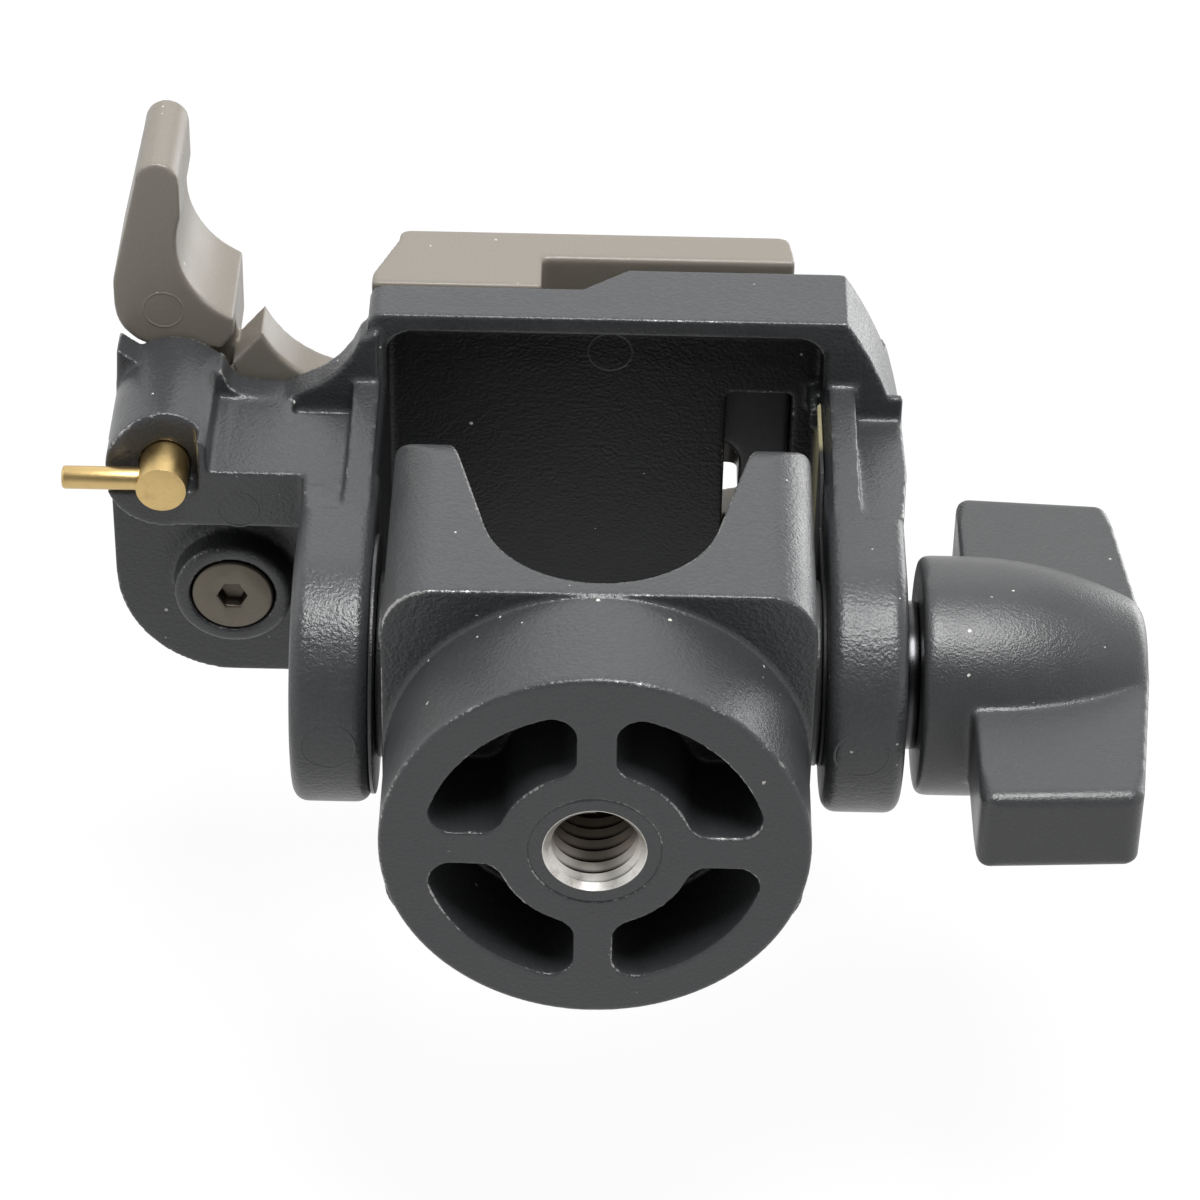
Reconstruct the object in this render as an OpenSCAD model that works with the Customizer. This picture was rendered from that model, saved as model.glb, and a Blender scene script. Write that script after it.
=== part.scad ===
// Tilt head for a monopod, with a cam-lever quick-release clamp and its camera plate.
// Millimetres. Z is up along the base thread, X is the tilt axis with the knob at +X,
// the lever clamp is at -X, and the front of the head faces -Y.
// The origin is the centre of the underside of the foot.

/* [Foot and fork] */
// diameter of the round foot
foot_d = 40; // [38:0.5:42]
// height of the round foot
foot_h = 12.4; // [11:0.1:13]
// width of the fork block across the ears
fork_w = 40.4; // [39:0.1:42]
// depth of the fork block, front to back
fork_d = 40.6; // [38:0.1:43]
// corner radius of the fork block seen from above
fork_corner = 5; // [3:0.5:7]
// height of the ear tips
ear_top = 40.3; // [39:0.1:41.5]
// rounding of the ear tips, front and back
ear_round = 7; // [4:0.5:9]
// radius of the round bottom of the slot between the ears
slot_r = 11.2; // [10.4:0.1:11.6]
// height of the centre of that round bottom
slot_z = 25.5; // [25:0.1:27]
// lean of the slot walls away from upright, degrees
slot_lean = 14; // [10:1:16]
// depth of the four kidney pockets under the foot
pocket_depth = 11; // [4:0.5:11.5]
// outer radius of the kidney pockets
pocket_out = 15.9; // [15:0.1:17]
// inner radius of the kidney pockets
pocket_in = 9.2; // [8.6:0.1:10]
// width of the webs between the pockets
pocket_web = 3.7; // [3:0.1:6]

/* [Base thread] */
// core diameter of the 3/8 inch thread
thread_core = 8; // [7.8:0.05:8.4]
// outside diameter of the steel thread insert
insert_d = 12.2; // [11.6:0.1:13]
// length of the thread insert
insert_h = 11; // [9:0.5:12]

/* [Tilt joint] */
// height of the tilt axis
tilt_z = 27.3; // [26.8:0.1:27.8]
// diameter of the tilt bolt
bolt_d = 8; // [6:0.5:9]
// width of the bolt head across flats
bolt_flats = 13; // [12:0.5:15]
// height of the bolt head, sunk in the left arm
bolt_head = 4; // [3:0.5:5]
// outside diameter of the plastic bushes in the ears
bush_d = 12; // [11:0.5:14]
// diameter of the bush flanges in the gaps beside the ears
flange_d = 18; // [15:0.5:20]
// gap between an ear and the arm beside it
arm_gap = 1.5; // [1.3:0.05:1.7]
// thickness of the friction liner in the right gap and the washer in the left gap
liner_t = 0.4; // [0.3:0.05:0.6]
// running clearance between turning round faces
run_gap = 0.05; // [0.03:0.01:0.1]

/* [Yoke] */
// thickness of each yoke arm
arm_t = 7.5; // [7.2:0.1:8.6]
// radius of the round end of each arm
arm_r = 13.4; // [12.6:0.1:13.8]
// rounding of the long edges of the arms
arm_edge = 1.4; // [0.8:0.1:2]
// height of the underside of the platform
deck_z = 54.8; // [54.4:0.1:55.2]
// thickness of the platform
deck_t = 5.5; // [5.2:0.1:6]
// depth of the recessed panel under the platform
panel_depth = 2.2; // [1.5:0.1:2.4]
// front face of the platform, measured forward of the axis
deck_front = 22.2; // [21.5:0.1:23]
// back face of the platform, measured behind the axis
deck_back = 26; // [23:0.5:29]
// left side of the platform, measured from the axis
deck_left = 23.6; // [23.4:0.05:23.8]
// right side of the platform, measured from the axis
deck_right = 30.2; // [29.8:0.1:31]

/* [Lever clamp] */
// lever axis, measured to the left of the base axis
lever_x = 37; // [36.8:0.1:37.4]
// lever axis, measured behind the base axis
lever_y = 5.3; // [5:0.1:5.6]
// radius of the clamp housing round the lever axis
house_r = 12; // [11.6:0.1:12.3]
// height of the clamp housing
house_h = 9.8; // [9.4:0.1:10.4]
// top of the clamp housing above the underside of the platform
house_rise = 2.8; // [2.4:0.1:2.9]
// outside diameter of the screw boss under the housing
boss_d = 11.9; // [11.4:0.1:12.4]
// height of the screw boss
boss_h = 3.2; // [2.8:0.1:3.6]
// head diameter of the lever screw
screw_head_d = 8.2; // [7.6:0.1:8.6]
// shank diameter of the lever screw
screw_d = 6; // [5:0.5:7]
// hex socket of the lever screw across flats
socket_flats = 2.6; // [2:0.1:3]
// thickness of the washer between the housing and the lever
washer_t = 0.4; // [0.35:0.05:0.6]
// height of the lever arm
lever_h = 12.5; // [11.5:0.1:13]
// height of the front tooth of the lever
tooth_h = 5.2; // [4.5:0.1:5.6]
// offset of the conical cam from the lever axis
cam_offset = 2.5; // [2.2:0.1:2.8]
// clearance between the cam and the plate
cam_gap = 0.03; // [0.02:0.01:0.1]

/* [Safety catch] */
// catch axis, measured to the left of the base axis
catch_x = 43; // [42.8:0.1:43.2]
// catch axis, measured in front of the base axis
catch_y = 11.6; // [11.4:0.1:11.8]
// diameter of the brass catch post
post_d = 4.9; // [4.4:0.1:5.2]
// how far the post stands out below its bracket
post_out = 1.9; // [1.6:0.1:2.2]
// depth of the catch bracket below the housing top
bracket_h = 16.6; // [16.2:0.1:17]
// outside diameter of the catch boss
catch_boss_d = 11.6; // [11:0.1:12]
// diameter of the catch handle rod
rod_d = 2.3; // [1.8:0.1:2.6]
// reach of the rod from the post axis
rod_reach = 9.8; // [8.5:0.1:11]

/* [Camera plate] */
// width of the plate at its foot
plate_w = 42.4; // [42.2:0.1:42.6]
// length of the plate, front to back
plate_l = 54; // [50:0.5:56]
// sideways offset of the plate, measured to the left
plate_x = 2.3; // [2.2:0.05:2.4]
// height of the plate without its pad
plate_h = 10.6; // [10.4:0.1:11]
// narrowing of the plate on each side over its bevel
bevel_in = 2.4; // [2.2:0.1:2.7]
// height of the bevel
bevel_h = 6.6; // [6.2:0.1:6.6]
// height of the cam and the fixed jaw over the bevel
clamp_h = 4.8; // [4.4:0.1:5]
// thickness of the top pad
pad_t = 1; // [0.6:0.1:1.5]
// width of the slot for the camera screw
screw_slot_w = 6.7; // [6.5:0.1:7.2]
// how far the camera screw slides each way along its slot
screw_travel = 7; // [4:0.5:7.5]
// reach of the camera screw above the pad
stud_h = 5; // [4.5:0.1:5.5]

/* [Knob] */
// diameter of the knob hub
knob_d = 23.2; // [21:0.1:24]
// span of the two wings, tip to tip
knob_span = 48; // [42:0.2:50]
// thickness of the wings
wing_t = 8.8; // [7:0.1:9.5]
// outer end of the knob from the tilt axis centre
knob_end = 52.6; // [50:0.1:54]
// thickness of the steel collar between arm and knob
collar_t = 1.5; // [1.2:0.1:1.8]
// diameter of the steel collar
collar_d = 14.4; // [12:0.2:18]

/* [Hidden] */
$fn = 64;

black_cast = [0.16, 0.16, 0.17];
black_plastic = [0.2, 0.2, 0.21];
taupe = [0.38, 0.35, 0.31];
steel = [0.72, 0.72, 0.72];
dark_steel = [0.36, 0.34, 0.3];
brass = [0.76, 0.6, 0.3];
tan_plastic = [0.7, 0.64, 0.46];
rubber = [0.12, 0.12, 0.12];

ear_x = fork_w / 2;
arm_in = ear_x + arm_gap;
arm_out = arm_in + arm_t;
deck_top = deck_z + deck_t;
panel_z = deck_z + panel_depth;
slot_edge = slot_r * cos(slot_lean);
slot_edge_z = slot_z - slot_r * sin(slot_lean);
wall_top = ear_top + 2;
wall_x = slot_edge + (wall_top - slot_edge_z) * tan(slot_lean);
bush_r = bolt_d / 2 + run_gap;
bush_in = 13;
flange_t = arm_gap - liner_t - 2 * run_gap;
liner_r = flange_d / 2;
liner_neck = liner_r - 1;
liner_z = panel_z - 17;
foot_rim = 0.4;
rib_w = 3.3;
hollow_z = tilt_z + 7;
pocket_corner = 2.2;
corner_y = pocket_web / 2 + pocket_corner;
corner_out = pocket_out - pocket_corner;
corner_in = pocket_in + pocket_corner;

house_top = deck_z + house_rise;
house_z = house_top - house_h;
lever_z = house_top + washer_t;
boss_z = house_z - boss_h;
boss_edge = 0.6;
head_h = 2.4;
screw_top = lever_z + 7;
hub_r = 12.2;
plate_left = -plate_x - plate_w / 2;
plate_right = -plate_x + plate_w / 2;
plate_front = -deck_front + 0.2;
plate_back = plate_front + plate_l;
foot_edge = 2.4;
bevel_z = deck_top + foot_edge;
jaw_in = bevel_in * clamp_h / bevel_h;
notch_rise = 5.85;
seam_h = 0.6;
plate_top = deck_top + plate_h;
pad_top = plate_top + pad_t;
pocket_top = deck_top + 5.7;
pocket_half = 16.2;
slot_y = 6.2;
slot_half = screw_travel + 8;
ring_r = 8.2;
ring_wire = 1.6;
stud_r = 3.175;
stud_tip = 0.5;
neck_d = 5.2;
washer_r = 6.2;
washer_h = 0.8;
clip_h = 0.8;
head_r = 5.6;
head_z = deck_top + 2.6;

cam_angle = -40;
cam_cx = -lever_x + cam_offset * cos(cam_angle);
cam_cy = lever_y + cam_offset * sin(cam_angle);
cam_r = plate_left - cam_gap - cam_cx;
neck_r = 9;
neck_lift = 3;

spring_z = house_z + 2;
spring_top = house_top - 2.4;
trigger_x = -deck_left - 0.1;
trigger_y = 11;
trigger_r = 1.45;
trigger_z = deck_top - 9.3;
trigger_floor = trigger_z - 6.5;
bracket_z = house_top - bracket_h;
post_z = bracket_z - post_out;
rod_z = post_z + 1.9;
rod_in = 1.5;
bracket_y = -catch_y - 0.9;
arch_r = 11.2;
arch_z = bracket_z + 2.8 - arch_r;
notch_h = 1.7;
notch_back = 1.6;
lip_z = house_top - 3.6;
catch_spring_z = house_top - 6;
catch_spring_r = 4.2;
knob_in = arm_out + collar_t;
wing_in = 35.5;
wing_tip = knob_end - 2;
wing_half = knob_span / 2;
wing_slant = 0.85;
wing_soft = 1.7;

// stretch a flat shape along X, drawn as (y, z)
module along_x(a, b) {
    translate([a, 0, 0])
        rotate([90, 0, 90])
            linear_extrude(b - a) children();
}

// stretch a flat shape along Y, drawn as (x, z)
module along_y(a, b) {
    translate([0, b, 0])
        rotate([90, 0, 0])
            linear_extrude(b - a) children();
}

// stretch a flat shape along Z, drawn as (x, y)
module along_z(a, b) {
    translate([0, 0, a])
        linear_extrude(b - a) children();
}

// round bar along X through the tilt axis
module tilt_bar(r, a, b) {
    translate([a, 0, tilt_z])
        rotate([0, 90, 0])
            cylinder(r = r, h = b - a);
}

// rectangle with round corners, from corner (x0, y0) to corner (x1, y1)
module soft_rect(x0, y0, x1, y1, r) {
    translate([x0 + r, y0]) square([x1 - x0 - 2 * r, y1 - y0]);
    translate([x0, y0 + r]) square([x1 - x0, y1 - y0 - 2 * r]);
    for (x = [x0 + r, x1 - r])
        for (y = [y0 + r, y1 - r])
            translate([x, y]) circle(r);
}

function unit(v) = v / norm(v);

// convex outline with every corner rounded to radius r
module soft_polygon(points, r) {
    n = len(points);
    before = [for (i = [0 : n - 1]) unit(points[(i + n - 1) % n] - points[i])];
    after = [for (i = [0 : n - 1]) unit(points[(i + 1) % n] - points[i])];
    half = [for (i = [0 : n - 1]) acos(before[i] * after[i]) / 2];
    polygon([for (i = [0 : n - 1]) for (side = [before[i], after[i]]) points[i] + side * r / tan(half[i])]);
    for (i = [0 : n - 1])
        translate(points[i] + unit(before[i] + after[i]) * r / sin(half[i])) circle(r);
}

// pie slice of radius r between two angles less than 180 degrees apart
module slice(r, a, b) {
    intersection() {
        circle(r);
        polygon([[0, 0], 3 * r * [cos(a), sin(a)],
            4 * r * [cos((a + b) / 2), sin((a + b) / 2)], 3 * r * [cos(b), sin(b)]]);
    }
}

// round turned body with a soft lower or upper rim
module soft_disc(r, h, edge) {
    rotate_extrude() {
        square([r - edge, h]);
        translate([0, edge]) square([r, h - edge]);
        translate([r - edge, edge]) circle(edge);
    }
}

// coil drawn as a ribbed sleeve, one rib for each turn of wire
module coil(r, wire, h) {
    turns = floor(h / (2 * wire));
    step = (h - wire) / (turns - 1);
    rotate_extrude() {
        translate([r - wire / 4, wire / 2]) square([wire / 2, h - wire]);
        for (i = [0 : turns - 1])
            translate([r, wire / 2 + i * step]) circle(wire / 2, $fn = 24);
    }
}

// one of the four kidney pockets, in the first quadrant
module kidney() {
    out_x = sqrt(corner_out * corner_out - corner_y * corner_y);
    in_x = sqrt(corner_in * corner_in - corner_y * corner_y);
    out_a = atan2(corner_y, out_x);
    in_a = atan2(corner_y, in_x);
    difference() {
        slice(pocket_out, out_a, 90 - out_a);
        circle(corner_out - 0.02);
    }
    difference() {
        slice(corner_in + 0.02, in_a, 90 - in_a);
        circle(pocket_in);
    }
    difference() {
        intersection() {
            circle(corner_out);
            translate([pocket_web / 2, pocket_web / 2]) square(pocket_out);
        }
        circle(corner_in);
    }
    for (c = [[out_x, corner_y], [corner_y, out_x], [in_x, corner_y], [corner_y, in_x]])
        translate(c) circle(pocket_corner);
}

// side view of the ears, soft at the front and back of the tip
module ear_side() {
    translate([-fork_d / 2, foot_h]) square([fork_d, ear_top - ear_round - foot_h]);
    translate([-fork_d / 2 + ear_round, foot_h])
        square([fork_d - 2 * ear_round, ear_top - foot_h]);
    for (y = [-1, 1])
        translate([y * (fork_d / 2 - ear_round), ear_top - ear_round]) circle(ear_round);
}

// slot between the ears: round bottom, walls leaning apart
module ear_slot() {
    translate([0, slot_z]) circle(slot_r);
    polygon([[-slot_edge, slot_edge_z], [slot_edge, slot_edge_z],
        [wall_x, wall_top], [-wall_x, wall_top]]);
}

module base_fork() {
    color(black_cast)
        difference() {
            union() {
                soft_disc(foot_d / 2, foot_h + 0.5, foot_rim);
                intersection() {
                    along_z(foot_h, ear_top + 1)
                        soft_rect(-ear_x, -fork_d / 2, ear_x, fork_d / 2, fork_corner);
                    along_x(-ear_x - 1, ear_x + 1) ear_side();
                }
            }
            along_y(-fork_d, fork_d) ear_slot();
            for (q = [0 : 3])
                rotate([0, 0, 90 * q])
                    along_z(-1, pocket_depth) kidney();
            translate([0, 0, -1]) cylinder(r = insert_d / 2, h = insert_h + 1);
            tilt_bar(bush_d / 2, -fork_w, fork_w);
        }
}

module thread_insert() {
    color(steel)
        difference() {
            cylinder(r = insert_d / 2, h = insert_h);
            translate([0, 0, -1]) cylinder(r = thread_core / 2, h = insert_h);
        }
}

module ear_bush(side) {
    color(black_plastic)
        difference() {
            union() {
                tilt_bar(bush_d / 2, side > 0 ? bush_in : -ear_x - flange_t,
                    side > 0 ? ear_x + flange_t : -bush_in);
                tilt_bar(flange_d / 2, side > 0 ? ear_x : -ear_x - flange_t,
                    side > 0 ? ear_x + flange_t : -ear_x);
            }
            tilt_bar(bush_r, -fork_w, fork_w);
        }
}

module ear_bush_left() {
    ear_bush(-1);
}

module ear_bush_right() {
    ear_bush(1);
}

// half section of an arm, drawn as (radius, x)
module arm_section() {
    translate([0, arm_in]) square([arm_r - arm_edge, arm_t]);
    translate([0, arm_in + arm_edge]) square([arm_r, arm_t - 2 * arm_edge]);
    for (x = [arm_in + arm_edge, arm_out - arm_edge])
        translate([arm_r - arm_edge, x]) circle(arm_edge);
}

// right yoke arm: round lower end, straight upper part and a rib that leans forward
module arm() {
    translate([0, 0, tilt_z])
        rotate([0, 90, 0])
            rotate_extrude() arm_section();
    along_z(tilt_z, deck_z + 1)
        soft_rect(arm_in, -arm_r, arm_out, arm_r, arm_edge);
    along_x(arm_in + arm_edge / 2, arm_in + rib_w)
        polygon([[-arm_r, hollow_z + 1], [-arm_r - 1.5, deck_z + 0.5],
            [-arm_r + 2, deck_z + 0.5], [-arm_r + 2, hollow_z + 1]]);
}

// upper part of the right arm, a little thicker than its round end
module arm_draft() {
    along_y(-arm_r, arm_r - arm_edge)
        polygon([[arm_out - 2, tilt_z + 8], [arm_out, tilt_z + 8], [arm_out + 0.7, tilt_z + 17],
            [arm_out + 0.7, deck_z + 1], [arm_out - 2, deck_z + 1]]);
}

// hollow on the outer front of an arm beside its rib, fading out below
module arm_hollow(deep) {
    along_x(arm_in + rib_w, arm_out + 1)
        polygon([[-arm_r - 9, hollow_z], [-arm_r + 0.12, hollow_z], [-arm_r + 0.9, hollow_z + 6.7],
            [-arm_r + deep, deck_z], [-arm_r - 9, deck_z]]);
}

// outline of the platform from above, swept at the front right corner
module deck_outline() {
    intersection() {
        soft_rect(-deck_left, -deck_front, deck_right, deck_back, 1.5);
        union() {
            translate([-10.5, 1]) circle(41.5, $fn = 128);
            translate([-deck_left, -5]) square([deck_left + deck_right, deck_back + 5]);
        }
    }
}

// outline of the clamp housing from above
module house_outline() {
    translate([-lever_x, lever_y]) circle(house_r);
    translate([-lever_x - house_r, -catch_y])
        square([lever_x + house_r - deck_left + 1, lever_y + catch_y]);
    translate([-lever_x, lever_y - 1])
        square([lever_x - deck_left + 1, house_r + 1]);
}

// scalloped front edge of the housing top
module house_lip() {
    polygon([[-49, -9], [-48.5, -17.9], [-46.2, -16.2], [-44, -15.7], [-38.2, -15.6],
        [-37.4, -13.6], [-36.2, -12.7], [-32, -12.4], [-28.3, -14.3], [-26.6, -15.7],
        [-25.2, -17.6], [-24.3, -19.6], [-deck_left + 1, -20.4], [-deck_left + 1, -9]]);
}

module yoke_casting() {
    color(black_cast)
        difference() {
            union() {
                difference() {
                    union() {
                        arm();
                        arm_draft();
                        mirror([1, 0, 0]) arm();
                    }
                    arm_hollow(2.65);
                    mirror([1, 0, 0]) arm_hollow(1);
                }
                // platform with a recessed panel below
                difference() {
                    along_z(deck_z, deck_top) deck_outline();
                    along_z(deck_z - 1, panel_z)
                        soft_rect(-arm_in, -deck_front + 2, arm_in, deck_back - 2, 2.5);
                }
                // front stop with its ramp, and the fixed jaw over the right bevel
                intersection() {
                    along_z(deck_top - 1, deck_top + 8) deck_outline();
                    union() {
                        along_y(-deck_front - 1, -13)
                            polygon([[-2.4, deck_top - 0.5], [-2.4, deck_top], [2.1, deck_top + 3.6],
                                [deck_right, deck_top + 3.6], [deck_right, deck_top - 0.5]]);
                        along_y(-13.2, deck_back - 4)
                            polygon([[plate_right + cam_gap, deck_top - 0.5],
                                [plate_right + cam_gap, bevel_z],
                                [plate_right + cam_gap - jaw_in, bevel_z + clamp_h],
                                [deck_right - 3, bevel_z + clamp_h],
                                [deck_right, deck_top + 2.5], [deck_right, deck_top - 0.5]]);
                    }
                }
                along_z(house_z, house_top) house_outline();
                along_z(lip_z, house_top) house_lip();
                // cast tab that keeps the friction liner from turning
                translate([arm_in - liner_t - run_gap - 0.8, -13.6, panel_z - 4.6]) cube([0.8, 2.6, 5]);
                // bracket and boss for the safety catch
                along_x(-catch_x, -arm_in - 3)
                    polygon([[bracket_y, bracket_z], [bracket_y + 0.2, house_top - 2],
                        [-catch_y + 5.7, house_top - 2], [-catch_y + 5.7, bracket_z]]);
                translate([-catch_x, -catch_y, bracket_z]) cylinder(r = catch_boss_d / 2, h = bracket_h);
                // boss under the lever screw
                translate([-lever_x, lever_y, boss_z])
                    rotate_extrude() {
                        square([boss_d / 2 - boss_edge, boss_h + 1]);
                        translate([0, boss_edge]) square([boss_d / 2, boss_h + 1 - boss_edge]);
                        translate([boss_d / 2 - boss_edge, boss_edge]) circle(boss_edge);
                    }
            }
            // cast window in the panel
            along_z(panel_z - 0.5, deck_top + 1) soft_rect(12.3, -12.2, 19, 13, 0.8);
            // bore for the tilt bolt and the pocket for its head
            tilt_bar(bolt_d / 2 + run_gap, -arm_out - 1, arm_out + 1);
            translate([-arm_out - 1, 0, tilt_z])
                rotate([0, 90, 0])
                    cylinder(r = bolt_flats / 2 / cos(30) + 0.03, h = bolt_head + 1, $fn = 6);
            // lever screw: sunk head below, spring chamber inside
            translate([-lever_x, lever_y, boss_z - 1])
                cylinder(r = screw_head_d / 2 + 0.2, h = head_h + 1.05);
            translate([-lever_x, lever_y, boss_z]) cylinder(r = screw_d / 2 + run_gap, h = 2 * house_h);
            translate([-lever_x, lever_y, spring_z]) cylinder(r = 6.4, h = 2 * house_h);
            // catch: bore, spring chamber, flat side and the open arch for the handle rod
            translate([-catch_x, -catch_y, post_z]) cylinder(r = post_d / 2 + run_gap, h = 2 * bracket_h);
            translate([-catch_x, -catch_y, catch_spring_z]) cylinder(r = catch_spring_r, h = bracket_h);
            translate([-catch_x + 4.4, bracket_y - catch_boss_d, post_z])
                cube([catch_boss_d, catch_boss_d, lip_z - post_z]);
            along_y(-catch_y - catch_boss_d, -catch_y + notch_back)
                intersection() {
                    translate([-catch_x + 0.7, arch_z]) circle(arch_r, $fn = 96);
                    translate([-catch_x - catch_boss_d, post_z]) square([catch_boss_d + 3.4, catch_boss_d]);
                }
            along_x(-catch_x - catch_boss_d, -catch_x)
                translate([-catch_y - catch_boss_d, post_z])
                    square([catch_boss_d + notch_back, bracket_z + notch_h - post_z]);
            // scoop above the bracket, beside the left rib
            along_x(-arm_in - rib_w - 6, -arm_in - rib_w)
                polygon([[bracket_y - 1, lip_z - 2.3], [bracket_y + 0.1, lip_z - 2.3],
                    [bracket_y + 1.6, lip_z - 1], [bracket_y + 1.6, lip_z], [bracket_y - 1, lip_z]]);
            // trigger bore in the left arm
            translate([trigger_x, trigger_y, trigger_floor]) cylinder(r = trigger_r + run_gap, h = 30);
        }
}

// tan liner on the inner face of the right arm
module friction_liner() {
    color(tan_plastic)
        difference() {
            along_x(arm_in - liner_t, arm_in) {
                translate([0, tilt_z]) circle(liner_r);
                polygon([[liner_neck, tilt_z], [liner_neck, liner_z], [arm_r - 0.8, liner_z + 3],
                    [arm_r - 0.8, panel_z], [-arm_r + 0.8, panel_z], [-arm_r + 0.8, liner_z + 3],
                    [-liner_neck, liner_z], [-liner_neck, tilt_z]]);
            }
            tilt_bar(bush_r, 0, fork_w);
        }
}

module friction_washer() {
    color(black_plastic)
        difference() {
            tilt_bar(arm_r - 0.8, -arm_in, -arm_in + liner_t);
            tilt_bar(bush_r, -fork_w, fork_w);
        }
}

module tilt_bolt() {
    color(dark_steel) {
        tilt_bar(bolt_d / 2, -arm_out + bolt_head - 0.5, knob_end - 8);
        translate([-arm_out, 0, tilt_z])
            rotate([0, 90, 0])
                cylinder(r = bolt_flats / 2 / cos(30), h = bolt_head, $fn = 6);
    }
}

module knob_collar() {
    color(steel)
        difference() {
            tilt_bar(collar_d / 2, arm_out, knob_in);
            tilt_bar(bolt_d / 2 + run_gap, 0, knob_in + 1);
        }
}

// half profile of the bullet-shaped hub, drawn as (radius, distance from its inner face)
module hub_profile(r, l) {
    intersection() {
        union() {
            square([r - 0.8, l]);
            translate([0, 0.8]) square([r, l - 0.8]);
            translate([r - 0.8, 0.8]) circle(0.8);
        }
        union() {
            square([r + 1, 5]);
            translate([r - 36, 4.6]) circle(36, $fn = 160);
        }
        union() {
            square([r + 1, l - 1.6]);
            square([r - 6.2, l]);
            translate([r - 6.2, l - 3]) circle(3);
        }
    }
}

module knob_body() {
    color(black_plastic)
        difference() {
            union() {
                translate([knob_in, 0, tilt_z])
                    rotate([0, 90, 0])
                        rotate_extrude() hub_profile(knob_d / 2, knob_end - knob_in);
                // two wings: outer edge slants in towards the tips
                along_y(-wing_t / 2, wing_t / 2) wing_outline();
            }
            tilt_bar(6, knob_in - 1, knob_end - 6);
        }
}

// both wings seen from the front, narrower towards the outer end and soft at every corner
module wing_outline() {
    low = wing_half - wing_slant;
    translate([0, tilt_z])
        soft_polygon([[wing_in, -wing_half], [wing_tip, -low], [knob_end, -5],
            [knob_end, 5], [wing_tip, low], [wing_in, wing_half]], wing_soft);
}

module knob_insert() {
    color(brass)
        difference() {
            tilt_bar(6, knob_in, knob_end - 6);
            tilt_bar(bolt_d / 2 + run_gap, 0, knob_end - 7);
        }
}

// lever grip from above, about the lever axis: drop shape with a hollow inner side and a round tip
module grip_outline() {
    difference() {
        union() {
            translate([-7.15, -40.2]) circle(2.15);
            intersection() {
                soft_rect(-12, -45.6, -0.2, -20.9, 4.8);
                polygon([[-9.3, -40.2], [-12.2, -27.8], [-12.2, -20.3], [0, -20.3], [0, -40.2]]);
            }
            polygon([[-6, -25.3], [-0.2, -25.3], [-0.2, -22.4], [-1.4, -20.9], [-6, -20.9]]);
        }
        translate([3.9, -33]) circle(9.4);
        translate([-5, -45.6]) square([9.5, 11.8]);
    }
}

// neck of the lever from above, about the lever axis, between the grip and the hub
module neck_outline() {
    polygon([[-neck_r - 0.2, -22.8], [-0.2, -23.4], [-0.2, -17.6], [-1, -16.6], [-1, -11],
        [2.5, -8.2], [0, 0], [-neck_r, 0]]);
    circle(neck_r);
}

// front tooth of the lever from above, about the lever axis: a fin with a hollow right side
module tooth_outline() {
    difference() {
        polygon([[2.6, -22.9], [11.6, -22.9], [11.6, -14.3], [11.8, -3.3], [3, 0], [-0.5, -19.2]]);
        translate([13, -27.4]) circle(11.3);
    }
}

module lever() {
    color(taupe)
        difference() {
            union() {
                translate([-lever_x, lever_y, 0]) {
                    along_z(lever_z, lever_z + lever_h) grip_outline();
                    along_z(lever_z + neck_lift, lever_z + lever_h) neck_outline();
                    along_z(lever_z, lever_z + tooth_h) tooth_outline();
                    along_z(lever_z, bevel_z) circle(hub_r);
                }
                // eccentric conical cam that leans over the plate bevel
                translate([cam_cx, cam_cy, bevel_z])
                    cylinder(r1 = cam_r, r2 = cam_r + jaw_in, h = clamp_h, $fn = 96);
            }
            translate([-lever_x, lever_y, lever_z - 1])
                cylinder(r = screw_d / 2, h = screw_top - lever_z + 1);
        }
}

module lever_screw() {
    color(dark_steel)
        difference() {
            translate([-lever_x, lever_y, boss_z]) {
                cylinder(r = screw_head_d / 2, h = head_h);
                cylinder(r = screw_d / 2, h = screw_top - boss_z);
            }
            translate([-lever_x, lever_y, boss_z - 1])
                cylinder(r = socket_flats / 2 / cos(30), h = 2.6, $fn = 6);
        }
}

module lever_washer() {
    color(black_plastic)
        translate([-lever_x, lever_y, house_top])
            difference() {
                cylinder(r = neck_r + 0.5, h = washer_t);
                translate([0, 0, -1]) cylinder(r = screw_d / 2 + run_gap, h = washer_t + 2);
            }
}

module lever_spring() {
    color(steel)
        translate([-lever_x, lever_y, spring_z]) coil(5, 1.2, house_top - spring_z - 0.1);
}

module catch_post() {
    color(brass)
        difference() {
            translate([-catch_x, -catch_y, post_z]) cylinder(r = post_d / 2, h = house_top - 0.2 - post_z);
            translate([-catch_x - post_d, -catch_y, rod_z])
                rotate([0, 90, 0]) cylinder(r = rod_d / 2, h = post_d + rod_in);
        }
}

module catch_rod() {
    color(brass)
        translate([-catch_x - rod_reach, -catch_y, rod_z])
            rotate([0, 90, 0]) cylinder(r = rod_d / 2, h = rod_reach + rod_in);
}

module catch_spring() {
    color(steel)
        translate([-catch_x, -catch_y, catch_spring_z]) coil(3.3, 0.9, house_top - catch_spring_z - 0.3);
}

module trigger_pin() {
    color(brass)
        translate([trigger_x, trigger_y, trigger_z]) cylinder(r = trigger_r, h = deck_top - trigger_z);
}

module trigger_spring() {
    color(steel)
        translate([trigger_x, trigger_y, trigger_floor]) coil(1, 0.5, trigger_z - trigger_floor);
}

// section of the plate, drawn as (x, z)
module plate_section() {
    polygon([[plate_left, deck_top], [plate_right, deck_top], [plate_right, bevel_z],
        [plate_right - bevel_in, bevel_z + bevel_h], [plate_right - bevel_in, plate_top - 1],
        [plate_left + bevel_in, plate_top - 1], [plate_left + bevel_in, bevel_z + bevel_h],
        [plate_left, bevel_z]]);
    soft_rect(plate_left + bevel_in, plate_top - 4, plate_right - bevel_in, plate_top, 1);
}

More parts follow.
